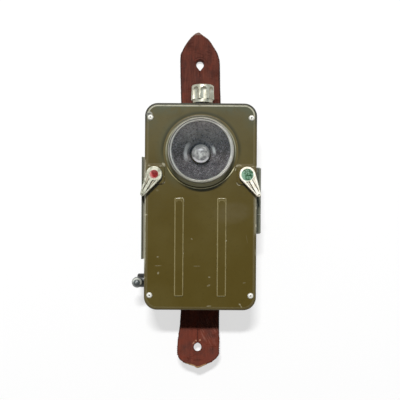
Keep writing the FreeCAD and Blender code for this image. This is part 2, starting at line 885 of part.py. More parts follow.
def key_stem():
    return along_y(stem_radius, key_offset, key_z, stem_end_y, knob_cavity_y + knob_bore_depth)


def key_clip():
    ring = along_y(clip_radius, key_offset, key_z, clip_y, clip_y + clip_thickness)
    ring = ring.cut(along_y(stem_radius, key_offset, key_z, clip_y, clip_y + clip_thickness))
    mouth = block(key_offset - clip_mouth / 2, key_offset + clip_mouth / 2,
                  clip_y, clip_y + clip_thickness, key_z - clip_radius, key_z)
    return ring.cut(mouth.cut(along_y(stem_radius, key_offset, key_z, clip_y, clip_y + clip_thickness)))


def key_tip():
    return along_y(key_tip_radius, key_offset, key_z, key_tip_y, stem_end_y)


def key_block():
    half = key_block_width / 2
    return block(key_offset - half, key_offset + half, key_contact_y - contact_sheet - key_block_thickness,
                 key_contact_y - contact_sheet, floor_z, key_z + stem_radius)


def key_contact():
    half = key_contact_width / 2
    return block(key_offset - half, key_offset + half, key_contact_y - contact_sheet, key_contact_y,
                 floor_z + battery_pad, key_z + stem_radius)


def key_knob():
    """Fluted head and plain skirt, hollow below for the return spring."""
    skirt, head, top = knob_skirt_y, knob_head_y, knob_top_y
    bevel = knob_top_bevel
    body = turned([(0, skirt), (knob_skirt_radius, skirt), (knob_skirt_radius, head),
                   (knob_radius, head), (knob_radius, head + knob_rim), (knob_top_radius, top - bevel),
                   (knob_top_radius - bevel, top), (0, top)],
                  vec(key_offset, 0, key_z), vec(0, 1, 0))
    groove_r = knob_radius - flute_depth + flute_radius
    flute_end = top - bevel - flute_stop
    for i in range(flute_count):
        angle = math.radians(90 - flute_phase + 360 * i / flute_count)
        x = key_offset + groove_r * math.cos(angle)
        z = key_z + groove_r * math.sin(angle)
        scoop = along_y(flute_radius, x, z, head, flute_end)
        body = body.cut(scoop.fuse(Part.makeSphere(flute_radius, vec(x, flute_end, z))))
    body = body.cut(along_y(knob_cavity_radius, key_offset, key_z, skirt, knob_cavity_y))
    return body.cut(along_y(stem_radius + running_clearance, key_offset, key_z,
                            knob_cavity_y, knob_cavity_y + knob_bore_depth))


def key_spring():
    """Coil spring. Every half turn is an arc in a plane of its own, tilted by the pitch,
    so that the arcs meet end to end with one direction."""
    low = bush_face_y + spring_wire
    high = knob_cavity_y - spring_wire - running_clearance
    rise = (high - low) / spring_turns / 2
    halves = []
    for i in range(2 * spring_turns):
        side = 1 if i % 2 == 0 else -1
        start = vec(side * spring_radius, 0, i * rise)
        centre = vec(0, 0, (i + 0.5) * rise)
        section = Part.Face(Part.Wire(Part.makeCircle(spring_wire, start, vec(0, 1, 0))))
        axis = (start - centre).cross(vec(0, side, 0))
        halves.append(section.revolve(centre, axis, 180))
    coil = halves[0].multiFuse(halves[1:])
    turn = FreeCAD.Rotation(vec(0, 0, 1), vec(0, 1, 0))
    coil.Placement = FreeCAD.Placement(vec(key_offset, low, key_z), turn)
    return coil


# ------------------------------------------------------------------ side switch
def switch_boss():
    flange = along_x(switch_radius, switch_y, switch_z, switch_boss_x, -half_width)
    barrel = along_x(switch_thread_radius, switch_y, switch_z, -half_width, switch_nut_x)
    bore = along_x(switch_spindle_radius + running_clearance, switch_y, switch_z, switch_boss_x, switch_nut_x)
    return flange.fuse(barrel).cut(bore).removeSplitter()


def switch_nut_piece():
    nut = hexagon(switch_nut_flats, vec(-wall_x, switch_y, switch_z), vec(1, 0, 0), switch_nut)
    return nut.cut(along_x(switch_thread_radius + nut_clearance, switch_y, switch_z, -wall_x, switch_nut_x))


def switch_cap():
    far = switch_cap_x - switch_cap_length
    bevel = switch_cap_bevel
    cap = turned([(0, 0), (switch_radius, 0), (switch_radius, switch_cap_length - bevel),
                  (switch_radius - bevel, switch_cap_length), (0, switch_cap_length)],
                 vec(switch_cap_x, switch_y, switch_z), vec(-1, 0, 0))
    cap = cap.cut(along_x(switch_spindle_radius, switch_y, switch_z, far + bevel, switch_cap_x))
    return cap.cut(switch_arm())


def switch_arm():
    x = switch_cap_x - switch_arm_inset
    foot = switch_z + switch_spindle_radius + switch_arm_wall
    return upright(switch_arm_radius, x, switch_y, foot, switch_z + switch_arm_length)


def switch_lever():
    ball = Part.makeSphere(switch_ball_radius,
                           vec(switch_cap_x - switch_arm_inset - switch_ball_offset, switch_y,
                               switch_z + switch_arm_length))
    return switch_arm().fuse(ball)


def switch_spindle():
    far = switch_cap_x - switch_cap_length + switch_cap_bevel
    return along_x(switch_spindle_radius, switch_y, switch_z, far,
                   switch_nut_x + wiper_sheet + 2 * running_clearance)


def switch_wiper():
    x = switch_nut_x + 2 * running_clearance
    hub = along_x(wiper_hub_radius, switch_y, switch_z, x, x + wiper_sheet)
    finger = block(x, x + wiper_sheet, switch_y - wiper_width / 2, switch_y + wiper_width / 2,
                   switch_z - wiper_length, switch_z)
    return hub.fuse(finger).cut(along_x(switch_spindle_radius, switch_y, switch_z, x, x + wiper_sheet)
                                ).removeSplitter()


def side_strip(thickness, start):
    top = switch_z - switch_nut_flats / math.sqrt(3) - side_strip_gap
    return block(start, start + thickness, switch_y + wiper_width / 2 + side_insulator, board_y,
                 top - side_strip_width, top)


# ------------------------------------------------------------------------ hinge
def hinge_leaf_piece(z_low, z_high, own, other, hole):
    plate = block(half_width, half_width + hinge_leaf, hinge_y_low, hinge_y_high, z_low, z_high)
    for y_low, y_high in other:
        plate = plate.cut(along_y(hinge_barrel_radius + hinge_sweep_gap, hinge_x, seam_z,
                                  y_low - hinge_end_gap, y_high + hinge_end_gap))
    for y_low, y_high in own:
        plate = plate.fuse(along_y(hinge_barrel_radius, hinge_x, seam_z, y_low, y_high))
    plate = plate.cut(along_y(hole, hinge_x, seam_z, hinge_y_low, hinge_y_high))
    return plate.removeSplitter()


def case_knuckles():
    return [(hinge_y_low, hinge_split_low), (hinge_split_high, hinge_y_high)]


def cover_knuckles():
    return [(hinge_split_low + hinge_end_gap, hinge_split_high - hinge_end_gap)]


def hinge_case_leaf():
    return hinge_leaf_piece(seam_z - hinge_case_leaf_width, seam_z, case_knuckles(), cover_knuckles(),
                            hinge_pin_radius)


def hinge_cover_leaf():
    return hinge_leaf_piece(seam_z, seam_z + hinge_cover_leaf_width, cover_knuckles(), case_knuckles(),
                            hinge_pin_radius + running_clearance)


def hinge_pin():
    """Plain pin, peened over to a bevelled head at each end."""
    r, head_r, head = hinge_pin_radius, hinge_head_radius, hinge_head
    end = hinge_length
    return turned([(0, -head), (r, -head), (head_r, 0), (r, 0), (r, end), (head_r, end), (r, end + head),
                   (0, end + head)],
                  vec(hinge_x, hinge_y_low, seam_z), vec(0, 1, 0))


# ------------------------------------------------------------------------ catch
def catch_foot():
    plate = block(-half_width - catch_sheet, -half_width, catch_centre - catch_foot_length / 2,
                  catch_centre + catch_foot_length / 2, catch_foot_z - catch_foot_width, catch_foot_z)
    ends = [e for e in plate.Edges
            if e.BoundBox.XLength > catch_sheet / 2 and e.BoundBox.YLength < 1e-6
            and e.BoundBox.ZLength < 1e-6]
    return plate.makeFillet(catch_foot_end, ends)


def catch_leaf():
    """Springy leaf: it stands on the foot, bows out over the bead, nips in above it
    and flares out into a thumb edge."""
    bead_z = seam_z + bead_rise
    inner = [(0.0, catch_foot_z), (0.0, seam_z - catch_rise), (catch_hollow, bead_z - catch_room_below),
             (catch_hollow, bead_z + catch_room_above), (catch_waist, bead_z + catch_nip),
             (catch_reach, catch_foot_z + catch_height)]
    outer = [(out + catch_sheet, z) for out, z in inner]
    points = inner + list(reversed(outer))
    return extruded_y([(-half_width - out, z) for out, z in points],
                      catch_leaf_centre - catch_leaf_length / 2, catch_leaf_centre + catch_leaf_length / 2)


# -------------------------------------------------------------- battery and wiring
def battery():
    return slab(battery_width, battery_length, battery_corner, battery_z, battery_z + battery_thickness,
                0, battery_y + battery_length / 2)


def battery_terminals():
    z = battery_z + battery_thickness / 2
    return group([block(side * terminal_spacing / 2 - terminal_width / 2,
                        side * terminal_spacing / 2 + terminal_width / 2,
                        battery_top_y, battery_top_y + terminal_sheet,
                        z - terminal_length / 2, z + terminal_length / 2)
                  for side in (-1, 1)])


def battery_pad_piece():
    pad = block(-battery_width / 2, battery_width / 2, -wall_y + rear_edge, battery_top_y, floor_z, battery_z)
    for x, y in corners(carrier_rivet_x(), carrier_rivet_y):
        pad = pad.cut(upright(carrier_head_radius + battery_clearance, x, y, floor_z, battery_z))
    return pad


def battery_guides():
    guides = []
    low = -half_height + guide_rise
    for side in (-1, 1):
        x = battery_width / 2 + battery_clearance
        back = x + guide_thickness
        points = [(x, floor_z), (x + guide_foot, floor_z), (x + guide_foot, floor_z + guide_thickness),
                  (back, floor_z + guide_thickness), (back, floor_z + guide_height),
                  (x, floor_z + guide_height)]
        guides.append(extruded_y([(side * px, pz) for px, pz in points], low, low + guide_length))
    return group(guides)


def contact_board():
    return block(-wall_x + rear_edge, wall_x - rear_edge, board_y, board_back_y, floor_z, board_top_z)


def battery_contacts():
    """Bowed brass leaves between the board and the battery's terminals."""
    z = battery_z + battery_thickness / 2
    reach = board_gap - terminal_sheet
    half = terminal_length / 2
    t = contact_sheet
    leaves = []
    for side in (-1, 1):
        x = side * terminal_spacing / 2
        outer = [vec(x, board_y, z + half), vec(x, board_y - reach, z), vec(x, board_y, z - half)]
        inner = [vec(x, board_y, z - half + t), vec(x, board_y - reach + t, z), vec(x, board_y, z + half - t)]
        edges = [Part.Arc(*outer).toShape(),
                 Part.LineSegment(outer[2], inner[0]).toShape(),
                 Part.Arc(*inner).toShape(),
                 Part.LineSegment(inner[2], outer[0]).toShape()]
        leaf = Part.Face(Part.Wire(edges)).extrude(vec(terminal_width, 0, 0))
        leaf.translate(vec(-terminal_width / 2, 0, 0))
        leaves.append(leaf)
    return group(leaves)


# ------------------------------------------------------------- strap and carrier
def carrier_rivet_x():
    return carrier_leg_x() + carrier_sheet + carrier_flange / 2


def carrier_leg_x():
    return strap_width / 2 + strap_side_clearance


def strap_carrier():
    x, t = carrier_leg_x(), carrier_sheet
    low = back_z - t
    half = [(x + t, 0), (x + t, low), (x + t + carrier_flange, low), (x + t + carrier_flange, back_z),
            (x, back_z), (x, t)]
    mirrored = [(-px, pz) for px, pz in reversed(half)]
    body = extruded_y(half + mirrored, -carrier_length / 2, carrier_length / 2)
    for px, py in corners(carrier_rivet_x(), carrier_rivet_y):
        body = body.cut(upright(carrier_rivet_radius, px, py, low, back_z))
    return body


def carrier_rivets():
    rivets = []
    for x, y in corners(carrier_rivet_x(), carrier_rivet_y):
        low = back_z - carrier_sheet
        shank = upright(carrier_rivet_radius, x, y, low - rivet_head, floor_z + rivet_head)
        head = upright(carrier_head_radius, x, y, low - rivet_head, low)
        tail = upright(carrier_head_radius, x, y, floor_z, floor_z + rivet_head)
        rivets.append(shank.fuse(head).fuse(tail).removeSplitter())
    return group(rivets)


def strap_side_view():
    """Side view of the strap: flat behind the case, then a gentle bend up to the foot."""
    low = carrier_sheet + strap_clearance
    high = low + strap_thickness
    top_y = half_height + strap_top_reach
    bend_y = -half_height - strap_bend_start
    a = math.radians(strap_bend_angle)
    r_out = strap_bend_radius
    r_in = strap_bend_radius - strap_thickness
    cy, cz = bend_y, low + r_out
    foot_y = -half_height - strap_bottom_reach - strap_thickness
    arc_y, arc_z = cy - r_out * math.sin(a), cz - r_out * math.cos(a)
    run = (arc_y - foot_y) / math.cos(a)
    tangent = vec(0, -math.cos(a), math.sin(a))
    normal = vec(0, math.sin(a), math.cos(a))

    def ring(radius, angle):
        return vec(0, cy - radius * math.sin(angle), cz - radius * math.cos(angle))

    low_end = ring(r_out, a) + tangent * run
    edges = [
        Part.LineSegment(vec(0, top_y, low), vec(0, bend_y, low)).toShape(),
        Part.Arc(vec(0, bend_y, low), ring(r_out, a / 2), ring(r_out, a)).toShape(),
        Part.LineSegment(ring(r_out, a), low_end).toShape(),
        Part.LineSegment(low_end, low_end + normal * strap_thickness).toShape(),
        Part.LineSegment(low_end + normal * strap_thickness, ring(r_in, a)).toShape(),
        Part.Arc(ring(r_in, a), ring(r_in, a / 2), vec(0, bend_y, high)).toShape(),
        Part.LineSegment(vec(0, bend_y, high), vec(0, top_y, high)).toShape(),
        Part.LineSegment(vec(0, top_y, high), vec(0, top_y, low)).toShape(),
    ]
    body = Part.Face(Part.Wire(edges)).extrude(vec(strap_foot_width, 0, 0))
    body.translate(vec(-strap_foot_width / 2, 0, 0))
    hole_y = -half_height - strap_bottom_reach + buttonhole_inset_bottom
    along = (arc_y - hole_y) / math.cos(a)
    hole = ring(r_out, a) + tangent * along + vec(buttonhole_shift_bottom, 0, 0)
    return body, hole, normal


def strap_plan(z_high):
    """Outline from the front: a point cut askew at the top, and a slightly wider foot
    with a blunt point."""
    w, foot_w = strap_width / 2, strap_foot_width / 2
    top = half_height + strap_top_reach
    foot = -half_height - strap_bottom_reach
    edge_y = foot + strap_foot_point
    side_y = edge_y + strap_foot_corner
    bulge_y = top - strap_bulge_drop
    corner_k = strap_foot_corner * (1 - math.sqrt(0.5))
    line = Part.LineSegment

    def half(side, bulge, point):
        tip = strap_tip_shift + side * strap_tip_flat / 2
        shoulder = top - point
        return [
            line(vec(strap_tip_shift, top, 0), vec(tip, top, 0)).toShape(),
            Part.Arc(vec(tip, top, 0), vec(side * bulge, bulge_y, 0), vec(side * w, shoulder, 0)).toShape(),
            line(vec(side * w, shoulder, 0), vec(side * w, -half_height, 0)).toShape(),
            line(vec(side * w, -half_height, 0), vec(side * foot_w, side_y, 0)).toShape(),
            Part.Arc(vec(side * foot_w, side_y, 0), vec(side * (foot_w - corner_k), edge_y + corner_k, 0),
                     vec(side * (foot_w - strap_foot_corner), edge_y, 0)).toShape(),
            line(vec(side * (foot_w - strap_foot_corner), edge_y, 0), vec(0, foot, 0)).toShape(),
        ]

    right = half(1, strap_right_bulge, strap_right_point)
    left = half(-1, strap_left_bulge, strap_left_point)
    wire = Part.Wire(Part.__sortEdges__(right + left))
    return Part.Face(wire).extrude(vec(0, 0, z_high))


def leather_strap():
    body, hole, normal = strap_side_view()
    body = body.common(strap_plan(back_z + strap_bottom_reach))
    reach = 4 * strap_thickness
    top_hole_y = half_height + strap_top_reach - buttonhole_inset_top
    x, half_slit = buttonhole_shift_top, slit_width / 2
    body = body.cut(upright(buttonhole_radius, x, top_hole_y, 0, back_z))
    body = body.cut(block(x - half_slit, x + half_slit, top_hole_y - buttonhole_radius - slit_length,
                          top_hole_y, 0, back_z))
    body = body.cut(rod(buttonhole_radius, hole - normal * reach, normal, 2 * reach))
    slit = block(hole.x - half_slit, hole.x + half_slit, hole.y, hole.y + buttonhole_radius + slit_length,
                 0, back_z + reach)
    return body.cut(slit)


# ----------------------------------------------------------------------- export
def parts():
    return {
        "rear_case": rear_case(),
        "front_cover": front_cover(),
        "cover_rivets": cover_rivets(),
        "spacer_sleeves": spacer_sleeves(),
        "guard_plate": guard_plate(),
        "lens_collar": lens_collar(),
        "lens_gasket": lens_gasket(),
        "lens_ring": lens_ring(),
        "lens_glass": lens_glass(),
        "lever_bushes": lever_bushes(),
        "lever_washers": lever_washers(),
        "red_lever": lever(-1, red_jewel_radius, red_hub_radius),
        "red_jewel": jewel(-1, red_jewel_radius),
        "red_shaft": lever_shaft(-1),
        "red_filter_frame": filter_frame(-1),
        "red_filter": filter_disc(-1),
        "green_lever": lever(1, green_jewel_radius, green_hub_radius),
        "green_jewel": jewel(1, green_jewel_radius),
        "green_shaft": lever_shaft(1),
        "green_filter_frame": filter_frame(1),
        "green_filter": filter_disc(1),
        "chassis": chassis(),
        "bulb_socket": bulb_socket(),
        "reflector": reflector(),
        "bulb_base": bulb_base(),
        "bulb_globe": bulb_globe(),
        "bulb_filament": bulb_filament(),
        "insulating_pad": insulating_pad(),
        "bulb_contact_strip": bulb_contact_strip(),
        "key_bush": key_bush(),
        "key_nut": key_nut(),
        "key_stem": key_stem(),
        "key_clip": key_clip(),
        "key_tip": key_tip(),
        "key_knob": key_knob(),
        "key_spring": key_spring(),
        "key_block": key_block(),
        "key_contact": key_contact(),
        "switch_boss": switch_boss(),
        "switch_nut": switch_nut_piece(),
        "switch_cap": switch_cap(),
        "switch_lever": switch_lever(),
        "switch_spindle": switch_spindle(),
        "switch_wiper": switch_wiper(),
        "side_strip_insulator": side_strip(side_insulator, -wall_x),
        "side_strip": side_strip(contact_sheet, -wall_x + side_insulator),
        "hinge_case_leaf": hinge_case_leaf(),
        "hinge_cover_leaf": hinge_cover_leaf(),
        "hinge_pin": hinge_pin(),
        "catch_foot": catch_foot(),
        "catch_leaf": catch_leaf(),
        "battery": battery(),
        "battery_terminals": battery_terminals(),
        "battery_pad": battery_pad_piece(),
        "battery_guides": battery_guides(),
        "contact_board": contact_board(),
        "battery_contacts": battery_contacts(),
        "strap_carrier": strap_carrier(),
        "carrier_rivets": carrier_rivets(),
        "leather_strap": leather_strap(),
    }


os.makedirs("parts", exist_ok=True)
for name, shape in parts().items():
    if not shape.isValid():
        raise ValueError(name + " is not a valid shape")
    shape.exportStep("parts/" + name + ".step")
    print(name, len(shape.Solids), round(shape.Volume, 2))
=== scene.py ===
from math import asin, cos, exp, hypot, pi, radians, sin, sqrt, tau

import bmesh
import bpy
import numpy as np
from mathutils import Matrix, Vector


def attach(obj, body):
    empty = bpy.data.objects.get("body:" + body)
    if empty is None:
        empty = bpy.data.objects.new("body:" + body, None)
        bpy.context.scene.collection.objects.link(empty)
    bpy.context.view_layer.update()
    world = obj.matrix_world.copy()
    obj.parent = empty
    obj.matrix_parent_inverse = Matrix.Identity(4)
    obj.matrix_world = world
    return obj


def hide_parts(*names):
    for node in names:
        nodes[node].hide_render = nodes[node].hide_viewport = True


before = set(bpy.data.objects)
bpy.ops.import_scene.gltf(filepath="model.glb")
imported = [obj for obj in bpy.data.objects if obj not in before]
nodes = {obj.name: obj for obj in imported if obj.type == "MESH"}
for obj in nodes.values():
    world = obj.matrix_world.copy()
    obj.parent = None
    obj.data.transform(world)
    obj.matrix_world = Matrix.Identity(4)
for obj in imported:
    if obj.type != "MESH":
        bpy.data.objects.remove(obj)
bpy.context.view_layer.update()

# Lengths below are in millimetres of the lamp's own frame, and MM turns them into metres.
MM = 0.001
HALF_WIDTH = 37.0
HALF_HEIGHT = 68.25
CASE_CORNER = 8.6
PANEL_Z = 38.8
LENS_CENTRE = (0.0, 36.2)
LENS_BASE_RADIUS = 24.6
RIB_HALF_WIDTH = 3.05
RIB_HALF_LENGTH = 32.4
RIB_CENTRE = (14.0, -26.6)
RIB_CORNER = 0.8
RIB_CREST = 0.45
PIVOT = (30.4, 21.0)
BULB_CENTRE_Z = 22.3
LEVER_TOP_Z = 42.8
LEVER_AXIS = (0.5, -0.866)
RIVET_CORNER = (33.2, 58.4)
SWITCH_BALL = (-42.25, -51.3)


# -------------- small tools
def smooth(value, low, high):
    """0 below low, 1 above high, with soft ends."""
    t = min(max((value - low) / (high - low), 0.0), 1.0)
    return t * t * (3 - 2 * t)


def in_scene(name, data):
    made = bpy.data.objects.new(name, data)
    bpy.context.scene.collection.objects.link(made)
    return made


def mesh_of(form, name):
    mesh = bpy.data.meshes.new(name)
    form.to_mesh(mesh)
    form.free()
    return mesh


def new_piece(name, mesh, slot, body, *replaced):
    """Put a finished mesh on its body, in the place of the plain parts it stands for."""
    piece = in_scene(name, mesh)
    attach(piece, body)
    if replaced:
        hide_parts(*replaced)


def shade_by_angle(mesh, degrees):
    """Smooth shading, with the edges that turn more than this kept crisp."""
    form = bmesh.new()
    form.from_mesh(mesh)
    for face in form.faces:
        face.smooth = True
    for edge in form.edges:
        edge.smooth = not edge.is_manifold or edge.calc_face_angle(0.0) < radians(degrees)
    form.to_mesh(mesh)
    form.free()


# -------------- nodes' tools
def linear(step):
    """One everyday 0-255 step of a colour, as the shaders want it."""
    value = step / 255
    return value / 12.92 if value <= 0.04045 else ((value + 0.055) / 1.055) ** 2.4


def feed(socket, value):
    """Link a value to a socket, or set it. A colour of three parts is in 0-255 steps."""
    value = getattr(value, "socket", value)
    if isinstance(value, bpy.types.NodeSocket):
        socket.id_data.links.new(value, socket)
    elif socket.type == "RGBA" and len(value) == 3:
        socket.default_value = (*map(linear, value), 1.0)
    else:
        socket.default_value = value


def feed_in_order(node, *values):
    for socket, value in zip(node.inputs, values):
        feed(socket, value)
    return node.outputs[0]


def tree_node(tree, kind, settings=None, **sockets):
    made = tree.nodes.new(kind)
    for key, value in (settings or {}).items():
        setattr(made, key, value)
    for key, value in sockets.items():
        feed(made.inputs[key.replace("_", " ")], value)
    return made


def output_of(tree, kind, settings=None, **sockets):
    return tree_node(tree, kind, settings, **sockets).outputs[0]


def soft_step(tree, value, low, high, **ends):
    return output_of(tree, "ShaderNodeMapRange", {"interpolation_type": "SMOOTHSTEP"}, Value=value,
                     From_Min=low, From_Max=high, **ends)


def cleared_tree(owner):
    owner.use_nodes = True
    owner.node_tree.nodes.clear()
    return owner.node_tree


def tree_math(tree, operation, *values):
    return feed_in_order(tree_node(tree, "ShaderNodeMath", {"operation": operation}), *values)


def product(tree, a, b):
    return tree_math(tree, "MULTIPLY", a, b)


def either(tree, a, b):
    return tree_math(tree, "MAXIMUM", a, b)


def worked(operation, swapped=False):
    """A method that does this arithmetic with a value, or with the value as its second side."""
    def work(self, other=0.0):
        return self.look.math(operation, *((other, self) if swapped else (self, other)))
    return work


class Value:
    """What a finish works out at each point of a surface. Arithmetic on it adds nodes."""
    __add__, __radd__, __mul__ = worked("ADD"), worked("ADD", True), worked("MULTIPLY")
    __sub__, __rsub__, __abs__ = worked("SUBTRACT"), worked("SUBTRACT", True), worked("ABSOLUTE")
    length, heading = worked("LENGTH"), worked("NORMALIZE")

    def __init__(self, look, socket):
        self.look, self.socket = look, socket

    def axes(self):
        made = self.look.node("SeparateXYZ", Vector=self)
        return [Value(self.look, part) for part in made.outputs]

    def clamped(self):
        """The same sum, held between 0 and 1."""
        self.socket.node.use_clamp = True
        return self

    def band(self, low, high):
        """0 at low and 1 at high, with soft ends. Low may be the larger."""
        ends = (0.0, 1.0) if low < high else (1.0, 0.0)
        return Value(self.look, soft_step(self.look.tree, self, min(low, high), max(low, high),
                                            To_Min=ends[0], To_Max=ends[1]))

    def line(self, half_width, soft):
        """1 along the line where this distance is 0, fading over soft on each side."""
        return abs(self).band(half_width + soft, half_width)


def most(first, *others):
    for other in others:
        first = first.look.math("MAXIMUM", first, other)
    return first


class Finish:
    """Builds one finish from nodes. Sizes are in millimetres of the lamp."""

    def __init__(self, name, source="Object"):
        self.material = bpy.data.materials.new(name)
        self.tree = cleared_tree(self.material)
        self.shader = self.node("BsdfPrincipled")
        self.output = self.node("OutputMaterial", Surface=self.shader.outputs[0])
        place = self.node("TexCoord").outputs[source]
        self.place = self.mapped(place, Scale=(1 / MM,) * 3)
        self.colour = self.normal = None

    def node(self, kind, settings=None, **sockets):
        """One shader node, called by what its kind's name says after ShaderNode."""
        return tree_node(self.tree, "ShaderNode" + kind, settings, **sockets)

    def mapped(self, spot, **sockets):
        return Value(self, self.node("Mapping", Vector=spot, **sockets).outputs[0])

    def math(self, operation, a, b=0.0):
        """One step of arithmetic, on vectors where either side is one."""
        sockets = [side.socket for side in (a, b) if isinstance(side, Value)]
        if not isinstance(b, tuple) and all(socket.type != "VECTOR" for socket in sockets):
            return Value(self, tree_math(self.tree, operation, a, b))
        made = self.node("VectorMath", {"operation": operation})
        feed_in_order(made, *((a,) if operation in ("ABSOLUTE", "LENGTH", "NORMALIZE") else (a, b)))
        return Value(self, made.outputs["Value" if operation in ("LENGTH", "DOT_PRODUCT") else "Vector"])

    def moved(self, offset, turn=0.0):
        """The place, moved so that offset is its origin, then turned about Z."""
        return self.mapped(self.place - offset, Rotation=(0, 0, turn))

    def plan(self, centre):
        """The place seen from a centre, without its height."""
        return self.moved((*centre, 0.0)) * (1, 1, 0)

    def round_about(self, centre):
        """How far the place is from a centre in plan, and its way from there along X and Y."""
        spot = self.plan(centre)
        across, away, _ = spot.heading().axes()
        return spot.length(), across, away

    def noise(self, size, detail=4, roughness=0.6, stretch=(1, 1, 1), seed=0.0, twist=0.0, at=None):
        """Cloudy variation. Size is the width of one patch, stretch lengthens it per axis."""
        spot = self.mapped(at or self.place, Scale=tuple(1 / (size * s) for s in stretch),
                           Location=(seed, seed * 1.7, seed * 0.6))
        return Value(self, self.node("TexNoise", Vector=spot, Scale=1.0, Detail=detail,
                                     Roughness=roughness, Distortion=twist).outputs["Fac"])

    def cells(self, size, stretch):
        spot = self.mapped(self.place, Scale=tuple(1 / (size * s) for s in stretch))
        return Value(self, self.node("TexVoronoi", Vector=spot, Scale=1.0).outputs["Distance"])

    def joined(self, x, y, z=0.0):
        return Value(self, self.node("CombineXYZ", X=x, Y=y, Z=z).outputs[0])

    def attribute(self, name):
        return Value(self, self.node("Attribute", {"attribute_name": name}).outputs["Fac"])

    def blend(self, share, first, second):
        made = self.node("Mix", {"data_type": "RGBA"}, Factor=share)
        feed(made.inputs[6], first)
        feed(made.inputs[7], second)
        return Value(self, made.outputs[2])

    def base(self, share, first, second):
        self.colour = self.blend(share, first, second)

    def coat(self, share, colour):
        """Lay a colour over what is there, as thick as its share."""
        self.base(share, self.colour, colour)

    def bump(self, height, depth):
        """Add relief, depth millimetres deep, on top of what is there."""
        made = self.node("Bump", Height=height, Distance=depth * MM, Strength=1.0)
        if self.normal:
            feed(made.inputs["Normal"], self.normal)
        self.normal = made.outputs[0]

    def edges(self, radius):
        """How near an edge the surface is: 0 on a flat, rising within radius of an edge."""
        bevel = self.node("Bevel", {"samples": 6}, Radius=radius * MM)
        round_normal = Value(self, bevel.outputs[0])
        flat_normal = Value(self, self.node("NewGeometry").outputs["Normal"])
        return (1.0 - self.math("DOT_PRODUCT", round_normal, flat_normal)).clamped()

    def outline_distance(self, past, corner):
        """Distance to a rounded outline, from how far past its corners' centres a point is."""
        x, y, _ = past.axes()
        inside = self.math("MINIMUM", most(x, y), 0.0)
        return self.math("MAXIMUM", past, (0, 0, 0)).length() + inside - corner

    def nick(self, centre, length, width, turn=0.0):
        """A small mark, length by width, with its long side turned from X by turn degrees."""
        spot = self.moved((*centre, 0.0), -radians(turn))
        return (spot * (2 / length, 2 / width, 0)).length().band(1.15, 0.6)

    def done(self, roughness, **sockets):
        sockets = {"Base Color": self.colour, "Roughness": roughness, **sockets}
        if self.normal:
            sockets["Normal"] = self.normal
        for key, value in sockets.items():
            feed(self.shader.inputs[key.replace("_", " ")], value)
        return self.material


# -------------- paint finishes
OLIVE = (82, 69, 24)
OLIVE_WORN = (87, 75, 33)
OLIVE_DARK = (70, 59, 19)
KHAKI = (150, 143, 112)
BARE_STEEL = (206, 202, 188)
# EDGE_SHADE is the colour of painted shade along the cover's head.
EDGE_SHADE = (40, 40, 30)


def enamel(look, edge_share, base=OLIVE, worn=OLIVE_WORN, dark=OLIVE_DARK, edge_colour=KHAKI):
    """Brushed-on enamel: slight colour drift, fine orange peel, rubbed edges and a few chips."""
    drift = look.noise(26, 2, 0.5, seed=3.1).band(0.35, 0.7)
    look.base(drift, base, worn)
    speckle = look.noise(2.2, 4, 0.65, seed=8.0).band(0.52, 0.75)
    look.coat(speckle * 0.35, dark)
    edge = look.edges(0.55)
    patchy = look.noise(3.5, seed=1.3).band(0.34, 0.6)
    rubbed = edge.band(0.02, 0.22) * (patchy * edge_share)
    look.coat(rubbed, edge_colour)
    chip = edge.band(0.03, 0.12) * look.noise(5.0, 5, seed=6.4).band(0.63, 0.67)
    look.coat(chip, BARE_STEEL)
    look.bump(look.noise(1.1, 2, 0.5, seed=2.0), 0.02)
    look.bump(chip, -0.05)
    return rubbed, chip


def glazed(look, chip, base, patch, drift, **sockets):
    """Close an enamel: its gloss drifts in patches, and its chips show metal."""
    rough = base + look.noise(patch, 3, 0.5, seed=4.0) * drift
    return look.done(rough, Metallic=chip * 0.8, **sockets)


def olive_case():
    """The rear case, with a few faint pale streaks in its enamel."""
    look = Finish("olive_enamel")
    _, chip = enamel(look, 0.7)
    streak = look.noise(9, 3, stretch=(0.15, 1.0, 1.0), seed=5.0).band(0.6, 0.72)
    look.coat(streak * 0.2, KHAKI)
    return glazed(look, chip, 0.27, 6, 0.12)


FRONT_NICKS_AND_GLINTS = (
    # centre, length, width, turn, strength
    ((-27.9, -33.2), 1.7, 0.8, 10, 0.3), ((-27.6, -39.0), 5.0, 0.6, 2, 0.2),
    ((-27.5, -43.8), 2.0, 1.3, 75, 0.35), ((6.0, -46.3), 1.7, 0.9, 0, 0.3),
    ((5.7, -51.8), 2.6, 1.2, 25, 0.25), ((6.0, -65.3), 3.6, 0.7, 4, 0.36),
    ((26.2, -64.0), 1.6, 1.1, -50, 0.45), ((27.1, -65.4), 2.2, 0.6, -60, 0.35),
    ((17.0, -22.3), 1.1, 0.9, 0, 0.6), ((-5.6, -21.3), 1.4, 0.6, -30, 0.4),
    ((29.0, -49.9), 2.4, 0.5, 5, 0.25), ((-2.3, -39.1), 5.0, 0.4, 0, 0.2),
    # The marks round the two lever pads are wear and painted highlights on the pads' corners.
    ((-24.4, 27.6), 3.0, 1.9, -50, 0.5), ((-26.2, 26.6), 2.4, 1.0, 15, 0.2),
    ((-24.3, 15.6), 2.6, 1.2, 40, 0.3), ((24.0, 27.0), 3.0, 1.3, 30, 0.4),
    ((25.9, 27.3), 2.4, 0.9, -20, 0.4), ((22.9, 24.6), 2.4, 0.8, 75, 0.35),
    ((24.2, 15.2), 2.4, 1.0, -60, 0.4), ((25.6, 14.4), 2.0, 0.9, 20, 0.45),
    ((34.4, 26.6), 2.4, 0.9, 10, 0.3), ((-34.0, 26.8), 2.0, 1.1, 0, 0.35),
    ((-28.5, 10.6), 2.2, 1.4, -30, 0.1), ((30.6, -21.0), 7.0, 0.5, -80, 0.06),
)
